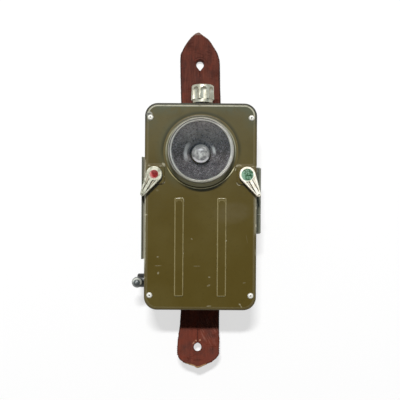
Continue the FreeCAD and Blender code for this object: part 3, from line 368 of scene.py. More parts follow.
EDGE_NICKS = (
    ((-36.2, 28.0), 0.8, 7.0, 0, 0.5), ((-36.0, -5.5), 2.6, 0.9, 0, 0.5), ((36.2, -30.0), 0.7, 5.0, 0, 0.3),
    ((36.6, -0.6), 0.9, 1.8, 0, 0.8), ((36.6, -12.2), 1.0, 2.4, 0, 0.9), ((-36.2, -5.6), 1.6, 1.1, 0, 0.6),
    ((-36.5, 17.0), 0.8, 2.4, 0, 0.5), ((36.5, 26.5), 0.9, 1.6, 0, 0.6), ((-36.4, -47.0), 0.8, 1.8, 0, 0.5),
)
LOST_WASHER = (-33.9, 60.4)


def rib_distance(look, y):
    """Distance in plan to the outline of the nearer of the two long ribs."""
    x, _, _ = abs(look.place).axes()
    from_rib = look.joined(x - RIB_CENTRE[0], y - RIB_CENTRE[1])
    core = (RIB_HALF_WIDTH - RIB_CORNER, RIB_HALF_LENGTH - RIB_CORNER, 0)
    return look.outline_distance(abs(from_rib) - core, RIB_CREST)


def olive_front():
    """The pressed cover: as the case, with the rubbed lines that handling leaves on the edges of the ribs and
    pads, and a painted highlight, with a little wear, along the crest of its rim. Painted shade darkens the
    rim's turned edge, the head's outer edge and a ring round the upper half of the lens; a painted sheen lies
    on the right of the panel."""
    look = Finish("olive_cover_enamel")
    rubbed, chip = enamel(look, 0.06)
    x, y, z = look.place.axes()
    front = z.band(PANEL_Z - 2.2, PANEL_Z - 1.2)

    core = (HALF_WIDTH - CASE_CORNER, HALF_HEIGHT - CASE_CORNER, 0)
    rim = look.outline_distance(abs(look.plan((0, 0))) - core, CASE_CORNER)
    lens_reach = look.plan(LENS_CENTRE).length()
    # A grey-green cast in patches along the head, weaker near the lens, and a fainter one left of the lens.
    grey_cast = y.band(44, 62) * rim.band(-11, -2.5)
    grey_cast = grey_cast * look.noise(6, 3, seed=15.0).band(0.3, 0.55)
    grey_cast = grey_cast * (0.6 - lens_reach.band(33, 27) * 0.45)
    beside_lens = lens_reach.band(31, 25) * x.band(-10, -20)
    grey_cast = most(grey_cast, beside_lens * 0.4)
    look.coat(grey_cast, (78, 80, 58))
    # Painted shade: a dark olive ring round the upper half of the lens.
    shade_ring = lens_reach.band(27.4, 24.9) * y.band(26, 40)
    look.coat(shade_ring * 0.85, (52, 46, 12))

    # Painted shade: darker olive on the turned edge below the rim, and near-black along the outer edge of the
    # head.
    turned_edge = rim.band(-1.6, -0.7) * z.band(PANEL_Z - 3.4, PANEL_Z - 2.4)
    look.coat(turned_edge * 0.6, OLIVE_DARK)
    head = y.band(50, 60) * front
    shaded_head_edge = rim.band(-1.6, -1.3) * head
    look.coat(shaded_head_edge * 0.85, EDGE_SHADE)
    # Painted highlight, with a little wear, along the crest of the rim: on the head and down parts of the
    # left and right sides.
    patchy = (0.45 + look.noise(7, seed=9.2).band(0.3, 0.6)).clamped()
    head_line = (rim + 1.95).line(0.32, 0.22) * (y.band(56, 61) * 0.66)
    left_share = x.band(-30, -36) * (y.band(30, 20) * y.band(-46, -34))
    left_line = (rim + 0.5).line(0.3, 0.3) * (left_share * 0.7)
    right_share = x.band(30, 34) * (y.band(8, 4) * y.band(-20, -15))
    right_line = (rim + 0.8).line(0.5, 0.3) * (right_share * 0.36)
    rim_highlight_and_wear = most(head_line, most(left_line, right_line)) * (patchy * front)
    look.coat(rim_highlight_and_wear, (188, 186, 164))

    rib = rib_distance(look, y)
    broken_line = (0.35 + look.noise(5, seed=7.7).band(0.2, 0.6)).clamped()
    rib_line = rib.line(0.16, 0.34) * broken_line
    rib_end = y.band(RIB_CENTRE[1] + RIB_HALF_LENGTH - 3.2, RIB_CENTRE[1] + RIB_HALF_LENGTH - 2.2)
    second_line = (rib + 1.15).line(0.1, 0.3) * rib_end * 0.7
    look.coat(most(rib_line, second_line) * 0.68, (154, 143, 100))

    marks = None
    for centre, length, width, turn, strength in FRONT_NICKS_AND_GLINTS + EDGE_NICKS:
        mark = look.nick(centre, length, width, turn) * strength
        marks = most(marks, mark) if marks else mark
    # A painted sheen: a faint pale grey patch on the right of the panel.
    painted_sheen = look.nick((21.0, -4.0), 26, 15, 8) * look.noise(5, seed=22.0)
    look.coat(painted_sheen * 0.2, (128, 120, 100))
    broken = (0.35 + look.noise(0.9, 3, 0.7, seed=4.4).band(0.34, 0.6)).clamped()
    marks = marks * broken * front
    look.coat(marks, (196, 190, 162))

    washer_print = look.nick(LOST_WASHER, 4.4, 3.6, -20) * front
    look.coat(washer_print * 0.85, (140, 140, 130))
    slot = look.nick((LOST_WASHER[0] - 0.3, LOST_WASHER[1] + 0.2), 3.0, 1.2, -6)
    look.coat(slot * front, (48, 50, 44))

    look.bump(marks, -0.04)
    look.bump(washer_print, 0.05)
    look.bump(look.noise(38, 1, 0.4, seed=12.0), 0.3)
    rough = 0.16 + look.noise(8, 3, 0.5, seed=4.0) * 0.08
    crest = rim.band(-2.6, -2.0) * front
    pad_crest = (y - 27.1).line(0.9, 0.4) * abs(x).band(23.2, 23.9)
    dulled = most(rubbed, marks, crest, most(washer_print, pad_crest))
    return look.done(rough + dulled * 0.45, Metallic=chip * 0.8)


def collar_enamel():
    """The lens collar: the case's enamel on its foot, and on its wall a pale grey-green that is painted
    reflection, with painted shade on the wall's right and upper side and painted light at its bottom. Worn
    through along the lower half of the foot, painted brighter there on the right and below where shade falls,
    and on the top edge."""
    look = Finish("collar_enamel")
    _, chip = enamel(look, 0.0)
    _, y, _ = look.place.axes()
    spot = look.plan(LENS_CENTRE)
    reach = spot.length()
    # The wall's pale grey-green stands for the sheen it reflects: painted reflection.
    thin = look.noise(3, seed=5.5).band(0.3, 0.7)
    wall = look.blend(thin, (100, 98, 76), (130, 128, 102))
    across, away, _ = spot.heading().axes()
    wall = look.blend(reach.band(22.9, 23.5) * 0.6, wall, (80, 78, 58))
    # Painted shade on the right and upper side of the wall, and painted light at its bottom.
    painted_dark_side = most(across.band(0.78, 0.95) * 0.8, away.band(0.7, 0.95) * 0.9)
    wall = look.blend(painted_dark_side * 0.6, wall, (84, 80, 56))
    wall = look.blend(away.band(0.5, 0.9) * 0.75, wall, (60, 58, 40))
    wall = look.blend(away.band(-0.6, -0.9) * 0.8, wall, (186, 182, 146))
    look.coat(reach.band(LENS_BASE_RADIUS - 0.8, LENS_BASE_RADIUS - 1.6), wall)
    lower = y.band(27.0, 23.5)
    foot = (reach - (LENS_BASE_RADIUS - 0.2)).line(0.2, 0.28) * lower
    broken = (0.6 + look.noise(6, seed=3.3).band(0.3, 0.6)).clamped()
    x, _, _ = spot.axes()
    # The foot line is wear, painted near-white on the right and below as light where the collar's shade
    # falls, khaki on the left.
    foot_wear_and_light = look.blend(x.band(-15, -5), (168, 158, 112), (250, 244, 200))
    look.coat(foot * broken, foot_wear_and_light)
    groove = (reach - (LENS_BASE_RADIUS - 0.95)).line(0.12, 0.3) * lower
    look.coat(groove * 0.7, (44, 42, 20))
    upper = away.band(-0.3, 0.2)
    outward = away.band(0.3, 0.85)
    seam_reach = 22.15 + outward
    seam = (reach - seam_reach).line(0.2, 0.25) * upper
    look.coat(seam * 0.75, (50, 50, 38))
    edge_reach = 22.75 - outward * 0.4
    top_edge = (reach - edge_reach).line(0.2, 0.25) * upper
    look.coat(top_edge * broken * 0.6, (176, 174, 150))
    return glazed(look, chip, 0.34, 5, 0.14, Specular_IOR_Level=0.25)


def dark_green_enamel():
    """The hinge and the carrier: older grey-green enamel, worn to steel at its edges, with a painted
    highlight down the outer side of the barrel."""
    look = Finish("dark_green_enamel")
    _, chip = enamel(look, 0.6, (52, 53, 38), (70, 70, 52), (34, 34, 22), (150, 150, 132))
    x, _, _ = look.place.axes()
    # Painted highlight: a pale line down the outer side of the hinge barrel.
    barrel_highlight = (0.4 + look.noise(4, seed=6.0)).clamped()
    barrel_highlight = barrel_highlight * (x.band(38.9, 39.6) * x.band(40.6, 40.2))
    look.coat(barrel_highlight * 0.8, (122, 123, 106))
    return glazed(look, chip, 0.3, 5, 0.2)


def faded_catch_enamel():
    """The spring catch: rubbed pale by the thumb near its upper end and along the side that lies against the
    case, where the pale band is painted near-white as light in the shade beside the case; dark green on its
    outer side."""
    look = Finish("faded_catch_enamel")
    _, chip = enamel(look, 0.7, (84, 90, 72), (104, 108, 90), (54, 60, 46), (178, 178, 160))
    x, y, z = look.place.axes()
    worn_off = (0.3 + look.noise(4, seed=2.0)).clamped()
    thumb = y.band(6, 12) * z.band(29, 33)
    look.coat(thumb * worn_off * 0.85, (150, 149, 128))
    # The side against the case: pale wear, painted near-white as light where the cover's shade falls.
    into_leaf = x + 26.62 + z * 0.33
    lit_inner_lip = into_leaf.band(-0.3, -0.15) * z.band(30.5, 32.5)
    look.coat(lit_inner_lip, (246, 243, 220))
    look.coat(z.band(34.3, 34.8) * 0.9, (66, 70, 54))
    return glazed(look, chip, 0.3, 5, 0.2)


# -------------- metal finishes
def plated(name, base, dull, roughness, dirt=0.5, dirt_colour=(0.02, 0.018, 0.012, 1)):
    """Plated or bare metal: cloudy tarnish, fine grain and dirt in its corners."""
    look = Finish(name)
    cloud = look.noise(4.5, seed=2.2).band(0.36, 0.68)
    look.base(cloud, base, dull)
    corner = look.edges(0.35).band(0.05, 0.5)
    grimy = corner * look.noise(1.6, seed=5.0).band(0.42, 0.62)
    look.coat(grimy * dirt, dirt_colour)
    look.bump(look.noise(0.5, 3, seed=7.0), 0.008)
    return look.done(roughness + cloud * 0.14, Metallic=1.0)


def worn_lever():
    """The filter levers: dulled nickel, with dirt and painted shade beside the rib of its
    sunk grooves and along their inner side."""
    look = Finish("lever_nickel")
    x, y, z = look.place.axes()
    cloud = look.noise(2.4, seed=2.2).band(0.36, 0.68)
    bright = look.blend(cloud, (236, 227, 211), (204, 194, 176))
    dulled = look.blend(cloud, (186, 181, 163), (140, 138, 120))
    look.base(x.band(-5, 5), dulled, bright)
    out = abs(x) - PIVOT[0]
    up = y - PIVOT[1]
    along = out * LEVER_AXIS[0] + up * LEVER_AXIS[1]
    aside = out * -LEVER_AXIS[1] + up * LEVER_AXIS[0]
    off_axis = abs(aside)
    pocket_edge = 3.7 - along * 0.197
    by_rib = off_axis.band(1.7, 1.3)
    by_rim = (pocket_edge - off_axis).band(0.45, 0.2) * aside.band(0.3, -0.3)
    floor = z.band(LEVER_TOP_Z - 0.3, LEVER_TOP_Z - 0.75)
    sunk = floor * z.band(LEVER_TOP_Z - 1.6, LEVER_TOP_Z - 1.1)
    sunk_share = 0.6 - x.band(-5, 5) * 0.5
    look.coat(sunk * sunk_share, (164, 152, 128))
    # Dark lines beside the rib and along one rim of each groove: dirt, and painted shade in the recess.
    kept = (0.6 + look.noise(1.4, 3, seed=5.0).band(0.3, 0.6)).clamped()
    groove_dirt_and_shade = sunk * most(by_rib, by_rim) * kept
    look.coat(groove_dirt_and_shade, (58, 55, 42))
    crest = look.edges(0.4).band(0.05, 0.35)
    look.coat(crest * 0.5, (238, 234, 218))
    look.bump(look.noise(0.6, 3, seed=7.0), 0.012)
    return look.done(0.46 + cloud * 0.16, Metallic=0.9 - sunk * 0.5)


def rivet_nickel():
    """The corner rivets: bright heads, with a little dirt in the dimple and round the foot."""
    look = Finish("rivet_nickel")
    cloud = look.noise(1.5, seed=2.2).band(0.36, 0.68)
    look.base(cloud, (234, 231, 221), (212, 209, 198))
    corner = abs(look.place) - (*RIVET_CORNER, 0)
    reach = (corner * (1, 1, 0)).length()
    dirt = most(reach.band(0.75, 0.4), reach.band(1.6, 1.9) * 0.5)
    look.coat(dirt * 0.8, (84, 84, 74))
    look.bump(look.noise(0.5, 3, seed=7.0), 0.01)
    return look.done(0.55 + cloud * 0.15, Metallic=0.45)


def reflector_metal():
    """Spun aluminium gone dull and mottled, painted lighter above and darker below as the light falls, with
    painted reflections in two patches beside the bulb, painted shade round its neck, a faint turned arc above
    it and a bright line by the rim."""
    look = Finish("tarnished_reflector")
    reach, across, away = look.round_about(LENS_CENTRE)
    around = look.joined(across * 9.0, away * 9.0, reach * 0.25)
    streak = look.noise(1.6, 5, 0.65, at=around)
    cloud = look.noise(4.0, seed=3.0)
    mottle = look.noise(1.45, 4, 0.68, seed=13.0)
    look.base(cloud.band(0.3, 0.7), (110, 104, 103), (148, 141, 139))
    # Painted light and shade: the upper side of the bowl lighter, the lower side darker.
    look.coat(away.band(0.2, 0.95) * 0.85, (192, 186, 182))
    look.coat(away.band(-0.2, -0.8) * 0.75, (76, 75, 78))
    look.coat(streak.band(0.5, 0.7) * 0.35, (86, 80, 80))
    look.coat(mottle.band(0.49, 0.61) * 0.65, (63, 60, 62))
    flecks = look.noise(0.9, 3, 0.7, seed=31.0).band(0.53, 0.61) * cloud.band(0.34, 0.52)
    fleck_share = 0.8 - away.band(-0.1, -0.6) * 0.42
    look.coat(flecks * fleck_share, (214, 212, 220))

    # Painted reflections: two bright crescents beside the bulb, dull white rather than metal.
    right = (reach - 8.8).line(0.3, 1.1) * across.band(0.72, 0.93)
    right = right * away.band(-0.16, 0.2)
    left = (reach - 9.9).line(0.5, 1.2) * across.band(-0.66, -0.9)
    left = left * away.band(-0.6, 0.0) * 0.8
    shine = most(right, left) * (0.45 + mottle).clamped()
    arc = (reach - 14.3).line(0.1, 0.6) * away.band(0.6, 0.95)
    rim = (reach - 18.2).line(0.1, 0.5) * away.band(0.3, -0.6)
    faint = most(arc * 0.6, rim) * (0.2 + mottle).clamped()
    shine = most(shine, faint * 0.5)
    look.coat(shine, (236, 238, 236))
    # Painted shade round the bulb's neck, darker to the left.
    shade_to_left = (0.45 + across * -0.45).clamped()
    neck_shade = reach.band(7.8, 6.9) * shade_to_left
    look.coat(neck_shade, (48, 48, 50))

    look.bump(look.math("SINE", reach * 9.0), 0.006)
    look.bump(mottle, 0.06)
    return look.done(0.34 + cloud * 0.25, Metallic=0.94 - shine * 0.7)


def turned_ring():
    """The lens ring: two rubbed beads of bare metal, with dirt and painted shade in the groove between them
    on the upper left, and painted shade on the ring's lower side.
    """
    look = Finish("turned_ring_metal")
    spot = look.plan(LENS_CENTRE)
    reach = spot.length()
    heading = spot.heading()
    toward_x, toward_y, _ = heading.axes()
    patch = look.noise(0.5, at=heading)
    look.base(patch.band(0.35, 0.7), (192, 188, 180), (160, 157, 150))
    # The groove darkened on the upper left side: dirt and painted shade.
    dark_groove_side = (toward_y - toward_x * 1.3).band(-0.35, 0.5)
    head = toward_y.band(0.3, 0.85)
    groove_reach = 20.35 - head * 0.16
    groove = (reach - groove_reach).line(0.17, 0.32)
    look.coat(groove * dark_groove_side * 0.9, (58, 59, 52))
    # Painted shade on the ring's lower side: the outer bead, the foot and its inner edge darkened.
    low_side = toward_y.band(-0.7, -0.93) * reach.band(19.8, 20.2)
    look.coat(low_side * 0.85, (88, 88, 74))
    foot = toward_y.band(-0.5, -0.95)
    look.coat(foot * 0.4, (132, 129, 118))
    inner_foot = foot * reach.band(19.9, 19.4)
    look.coat(inner_foot * 0.7, (104, 102, 94))
    dirt = look.edges(0.3).band(0.08, 0.5)
    look.coat(dirt * 0.35, (96, 94, 86))
    look.bump(look.noise(0.5, 3, 0.5, seed=3.0), 0.01)
    return look.done(0.42 + patch * 0.16, Metallic=0.9)


# -------------- glass and stones
def clear_glass(name, tint, roughness, dust, bend=1.46):
    """Glass that lets the lamps' light through, with a little dust on it. A thin watch
    glass bends the view less than a solid stone of its outline, so its bend is lower."""
    look = Finish(name)
    cloud = look.noise(3.0, seed=6.0).band(0.5, 0.75)
    look.colour = tint
    look.done(roughness + cloud * dust, Transmission_Weight=1.0, IOR=bend)
    see_through = output_of(look.tree, "ShaderNodeBsdfTransparent", Color=tint)
    shadow = look.node("LightPath").outputs["Is Shadow Ray"]
    both = feed_in_order(look.node("MixShader"), shadow, look.shader.outputs[0], see_through)
    feed(look.output.inputs["Surface"], both)
    return look.material


def frosted_bulb():
    """The bulb: etched inside, with a painted bright rim below for the light that comes through from beyond,
    a painted highlight bar above its middle and a painted shade line under the bar.
    """
    look = Finish("bulb_glass")
    spot = look.moved((*LENS_CENTRE, BULB_CENTRE_Z))
    reach = (spot * (1, 1, 0)).length()
    across, away, _ = spot.axes()
    cloud = look.noise(2.6, seed=6.0)
    look.base(cloud.band(0.38, 0.66), (112, 112, 112), (196, 197, 193))
    # Painted light: a bright metallic rim low on the globe.
    lit_rim = reach.band(4.5, 5.1) * away.band(-1.9, -3.0)
    look.coat(lit_rim, (252, 252, 250))
    # A painted highlight bar above the middle, with a painted shade line below it.
    width = abs(across).band(2.4, 0.8)
    bar = (away - 2.1).line(0.2, 0.5) * width
    look.coat(bar * 0.6, (230, 230, 234))
    shade = (away - 1.1).line(0.1, 0.4) * width
    look.coat(shade * 0.6, (70, 70, 74))
    clear = 0.5 - lit_rim * 0.5
    look.bump(cloud, 0.1)
    return look.done(0.3, Transmission_Weight=clear, Metallic=lit_rim * 0.9, IOR=1.3)


def jewel_enamel(name, centre, rim, deep, mid, pale, mottled):
    """A coloured cap: deep in its middle, paler and worn at its rim, with painted light on its lower side and
    a painted highlight on its left.
    """
    look = Finish(name)
    cloud = look.noise(1.1, 4, 0.65, seed=4.0).band(0.42, 0.6)
    look.base(cloud * mottled, deep, pale)
    reach = look.plan(centre).length()
    across, away, _ = look.moved((*centre, 0.0)).axes()
    low_side = (away + across * 0.6).band(0.8, -1.6)
    worn = reach.band(rim - 0.7, rim - 0.1) * (0.15 + low_side).clamped()
    look.coat(worn * (0.3 + cloud).clamped(), pale)
    # Painted light in a ring on the lower side, and a painted highlight on the left.
    lit_side = (reach - rim * 0.55).line(0.3, 0.4) * low_side
    look.coat(lit_side * 0.5, mid)
    left_highlight = (across + away * 0.35).band(rim * -0.3, rim * -0.85)
    look.coat(left_highlight * 0.55, pale)
    look.bump(look.noise(1.1, 3, seed=2.0), 0.05)
    return look.done(0.36 + cloud * 0.25, Specular_IOR_Level=0.12)


# -------------- dull finishes
def moulded(name, base, pale, roughness):
    """Moulded bakelite or oxidised metal with a dusty bloom on it."""
    look = Finish(name)
    bloom = look.noise(2.4, seed=3.0).band(0.42, 0.72)
    look.base(bloom * 0.6, base, pale)
    edge = look.edges(0.4).band(0.04, 0.4)
    look.coat(edge * 0.35, pale)
    look.bump(look.noise(0.5, 3, 0.5, seed=1.0), 0.012)
    return look.done(roughness + bloom * 0.2)


def thumbed_ball():
    """The switch's ball: dark oxide, with a bright ring, rubbed by thumbs and painted brighter on its upper
    side as a highlight, and a painted glint near its middle.
    """
    look = Finish("thumbed_ball")
    reach, across, away = look.round_about(SWITCH_BALL)
    bloom = look.noise(2.0, seed=3.0).band(0.42, 0.72)
    look.base(bloom * 0.6, (66, 70, 70), (112, 118, 116))
    # The ring: wear, with a painted highlight strongest on the upper side; then a painted glint near the
    # middle.
    upper = (away + across * 0.35).band(-0.45, 0.3)
    rubbed = (reach - 2.75).line(0.3, 0.35) * (0.2 + upper).clamped()
    look.coat(rubbed * 0.9, (214, 216, 206))
    eye = look.nick((SWITCH_BALL[0] - 0.4, SWITCH_BALL[1] + 0.4), 1.6, 1.1, 20)
    look.coat(eye * 0.5, (170, 174, 170))
    look.bump(look.noise(0.5, 3, 0.5, seed=1.0), 0.012)
    return look.done(0.3 + bloom * 0.2, Metallic=rubbed * 0.5)


def card():
    """The battery's card sleeve: fibres, soft scuffs and rubbed edges."""
    look = Finish("battery_card")
    fibre = look.noise(0.8, 5, 0.7, stretch=(4, 1, 1), seed=2.0)
    look.base(fibre.band(0.35, 0.7), (140, 120, 82), (168, 148, 106))
    scuff = look.noise(11, seed=6.0).band(0.55, 0.7)
    look.coat(scuff * 0.4, (190, 176, 140))
    edge = look.edges(0.8).band(0.02, 0.3)
    look.coat(edge * 0.5, (196, 184, 152))
    look.bump(fibre, 0.05)
    return look.done(0.75)


def fibrous(name, grain, low, base, pale, relief, roughness, **sockets):
    """Felt or pressed fibre, its grain given as the numbers of a noise."""
    look = Finish(name)
    hair = look.noise(**grain, seed=2.0)
    look.base(hair.band(low, 0.7), base, pale)
    look.bump(hair, relief)
    return look.done(roughness, **sockets)


def rubber():
    look = Finish("seal_rubber")
    bloom = look.noise(3, seed=2.0).band(0.45, 0.7)
    look.base(bloom * 0.5, (26, 26, 26), (66, 64, 60))
    look.bump(look.noise(0.6, 3, 0.5), 0.03)
    return look.done(0.7)


def leather():
    """Waxed harness leather. It reads the strap's own flat map: x across the strap, y
    along it. The attributes cut_edge, frayed_end and bevelled_tip say how near each is."""
    look = Finish("strap_leather", source="UV")
    across, along, _ = look.place.axes()
    long_fibre = look.noise(1.5, stretch=(0.55, 7, 1), seed=1.0)
    pores = look.cells(0.42, stretch=(1, 1.3, 1))
    cloud = look.noise(9, stretch=(0.8, 1.7, 1), seed=4.0)
    look.base(cloud.band(0.34, 0.68), (72, 33, 23), (93, 45, 32))
    rust = look.noise(6, 3, seed=21.0).band(0.52, 0.7)
    look.coat(rust * 0.5, (108, 45, 29))
    look.coat(long_fibre.band(0.5, 0.72) * 0.4, (46, 20, 13))
    look.coat(long_fibre.band(0.48, 0.3) * 0.28, (124, 72, 56))
    foot_red = along.band(-80, -92) * look.noise(8, 3, seed=33.0).band(0.3, 0.6)
    look.coat(foot_red * 0.6, (104, 42, 24))
    slanted = look.moved((8.0, -84.0, 0.0), turn=radians(-26))
    fan = look.noise(1.3, 3, stretch=(0.6, 8, 1), at=slanted).band(0.52, 0.64)
    fan = fan * (along.band(-76, -82) * along.band(-104, -94))
    look.coat(fan * across.band(-2, 3) * 0.5, (140, 90, 76))

    crease = look.noise(7, 3, 0.55, stretch=(2.6, 0.55, 1), twist=0.6, seed=9.0)
    crease = (crease - 0.5).line(0.003, 0.014)
    crease = crease * 0.3 * look.noise(12, 2, 0.5, seed=2.0).band(0.46, 0.6)
    for centre, sign in ((TOP_HOLE, 1), (FOOT_HOLE_FLAT, -1)):
        from_hole = look.place - (*centre, 0)
        reach = (from_hole * (1, 1, 0)).length()
        _, beyond, _ = from_hole.axes()
        arcs = most((reach - 3.35).line(0.25, 0.5), (reach - 5.2).line(0.1, 0.5) * 0.5)
        arcs = arcs * (beyond * sign).band(0.4, 2.2)
        crease = most(crease, arcs * (0.9 if sign > 0 else 0.4))
    crease = most(crease, look.nick((TOP_HOLE[0], 94.6), 0.7, 6.0) * 0.8)
    crease = most(crease, look.nick((FOOT_HOLE[0], -90.6), 0.7, 15.0) * 0.7)
    look.coat(crease * 0.75, (34, 14, 9))
    for centre, length, turn in (((-4.0, -97.7), 3.0, 48), ((-2.4, -96.3), 1.7, 70), ((0.3, -96.0), 1.6, 60)):
        nick = look.nick(centre, length, 1.1, turn) * look.noise(0.9, 3, 0.5, seed=3.0).band(0.35, 0.6)
        look.coat(nick * 0.8, (182, 140, 112))

    ragged = look.noise(2.2, 4, 0.65, seed=6.0) - 0.5
    dark_share = 0.7 - along.band(-84, -96) * 0.45
    for name, spread, low, high, share, tone in (("cut_edge", 0.3, 0.35, 0.8, dark_share, (40, 22, 17)),
                                                 ("bevelled_tip", 0.5, 0.4, 0.7, 0.75, (124, 102, 90)),
                                                 ("frayed_end", 0.9, 0.55, 0.8, 0.85, (176, 142, 100))):
        worn = (look.attribute(name) + ragged * spread).band(low, high)
        look.coat(worn * share, tone)

    look.bump(pores, 0.05)
    look.bump(long_fibre, 0.1)
    look.bump(crease, -0.3)
    return look.done(0.5 + cloud * 0.2, Specular_IOR_Level=0.1)


# -------------- leather strap
STRAP_LOW_Z = 1.1
STRAP_THICKNESS = 2.4
STRAP_HALF_WIDTH = 14.2
TIP_SAG, FOOT_CUP, WAVE_HEIGHT, LIP_HEIGHT = 0.85, 0.7, 0.22, 0.22
BEND_START_Y = -72.25
BEND_RADIUS = 48.0
BEND_ANGLE = radians(24.0)
BEND_MIDDLE = BEND_RADIUS - STRAP_THICKNESS / 2
HOLE_RADIUS = 2.7
TOP_HOLE = (-1.0, 101.1)
FOOT_HOLE = (-1.4, -99.2)
FOOT_HOLE_FLAT = (-1.4, -100.5)
HOLE_POINTS = ((TOP_HOLE[1], -1, 4.3), (FOOT_HOLE[1], 1, 3.0))
STRAP_OUTLINE = (
    # y, left edge, right edge, from the top point to the foot's point
    (124.3, -2.9, -1.4), (123.8, -4.3, -0.8), (122.4, -6.0, 1.1), (121.0, -7.5, 3.1),
    (119.8, -8.5, 4.9), (117.5, -10.2, 6.7), (115.0, -11.9, 8.3), (112.0, -13.4, 10.1),
    (109.6, -14.6, 11.5), (108.0, -15.1, 12.1), (104.3, -15.2, 13.1), (100.0, -15.1, 13.3),
    (93.4, -15.0, 13.4), (75.0, -14.4, 13.9), (40.0, -14.2, 14.2), (-40.0, -14.2, 14.2),
    (-75.4, -13.6, 14.0), (-86.0, -14.2, 13.9), (-92.0, -15.1, 13.8), (-93.7, -15.3, 14.2),
    (-99.5, -15.7, 13.8), (-103.8, -15.6, 13.8), (-106.4, -14.4, 11.5), (-108.8, -11.7, 8.0),
    (-109.8, -9.0, 5.4), (-110.6, -5.9, 3.7), (-111.3, -3.6, 2.0), (-112.2, -1.8, -0.6),
)
SPLIT_LINE = (
    # y, x
    (-112.2, -1.2), (-99.2, -1.4), (-80.0, -0.8), (0.0, 0.0), (80.0, -0.6), (101.1, -1.0),
    (112.0, -1.5), (124.3, -2.15),
)


def strap_path(run):
    """Point of the strap's middle layer at this run below the bend's start: y, z, slope."""
    z = STRAP_LOW_Z + STRAP_THICKNESS / 2
    if run <= 0:
        return BEND_START_Y - run, z, 0.0
    angle = min(run / BEND_MIDDLE, BEND_ANGLE)
    y = BEND_START_Y - BEND_MIDDLE * sin(angle)
    z += BEND_MIDDLE * (1 - cos(angle))
    straight = max(run - BEND_MIDDLE * BEND_ANGLE, 0.0)
    return y - straight * cos(BEND_ANGLE), z + straight * sin(BEND_ANGLE), angle


def run_at(y):
    """Run of the strap's middle layer whose point is at this y."""
    drop = BEND_START_Y - y
    if drop <= 0:
        return drop
    bend = BEND_MIDDLE * sin(BEND_ANGLE)
    if drop <= bend:
        return BEND_MIDDLE * asin(drop / BEND_MIDDLE)
    return BEND_MIDDLE * BEND_ANGLE + (drop - bend) / cos(BEND_ANGLE)


def opening(y):
    """Half width of the buttonhole at this y: a circle drawn out to a point."""
    for centre, toward, point in HOLE_POINTS:
        offset = (y - centre) * toward
        meet = HOLE_RADIUS ** 2 / point
        if -HOLE_RADIUS < offset <= meet:
            return sqrt(HOLE_RADIUS ** 2 - offset ** 2)
        if meet < offset < point:
            return sqrt(HOLE_RADIUS ** 2 - meet ** 2) * (point - offset) / (point - meet)
    return 0.0


def strap_rows():
    """The y of each row of the strap's mesh, close together at its ends and holes."""
    top, foot = STRAP_OUTLINE[0][0], STRAP_OUTLINE[-1][0]
    marks = {top, foot}
    y = top
    while y > foot:
        marks.add(round(y, 4))
        near_end = min(y - foot, top - y)
        in_hole = min(abs(y - TOP_HOLE[1]), abs(y - FOOT_HOLE[1]))
        y -= 0.35 if near_end < 4 else 0.4 if in_hole < 5 else 0.8 if abs(y) > HALF_HEIGHT else 2.5
    for centre, toward, point in HOLE_POINTS:
        marks.update((centre - toward * HOLE_RADIUS, centre + toward * point))
        marks.update(centre - toward * HOLE_RADIUS * cos(radians(a)) for a in range(12, 90, 12))
    return sorted(marks, reverse=True)


def lane(inner, outer, side, slope):
    """Points round one half of the strap's section, from its inner edge over the top and
    back below: across, height, nearness to a cut edge."""
    columns, corner = 16, 0.55
    wide = corner * sqrt(1 + slope * slope)
    outer_round = min(wide, (outer - inner) * 0.45)
    inner_round = min(corner * 0.7, inner * 0.8, (outer - inner) * 0.2)
    inner_near = 0.6 if inner > 0 else 0.0
    half = STRAP_THICKNESS / 2
    top = []
    for i in range(4):
        a = radians(30 * i)
        drop = corner * 0.7 * (1 - cos(a)) if inner_round > 0 else 0.0
        top.append((inner + inner_round * (1 - sin(a)), half - drop, inner_near))
    top.reverse()
    first, last = inner + inner_round, outer - outer_round
    top.extend((first + (last - first) * i / columns, half, 0.0) for i in range(1, columns))
    for i in range(5):
        a = radians(22.5 * i)
        top.append((last + outer_round * sin(a), half - corner * (1 - cos(a)), 1.0))
    below = [(x, -z, near) for x, z, near in reversed(top)]
    loop = top + [(outer, 0.0, 1.0)] + below + [(inner, 0.0, inner_near)]
    return [(side * x, z, near) for x, z, near in loop]


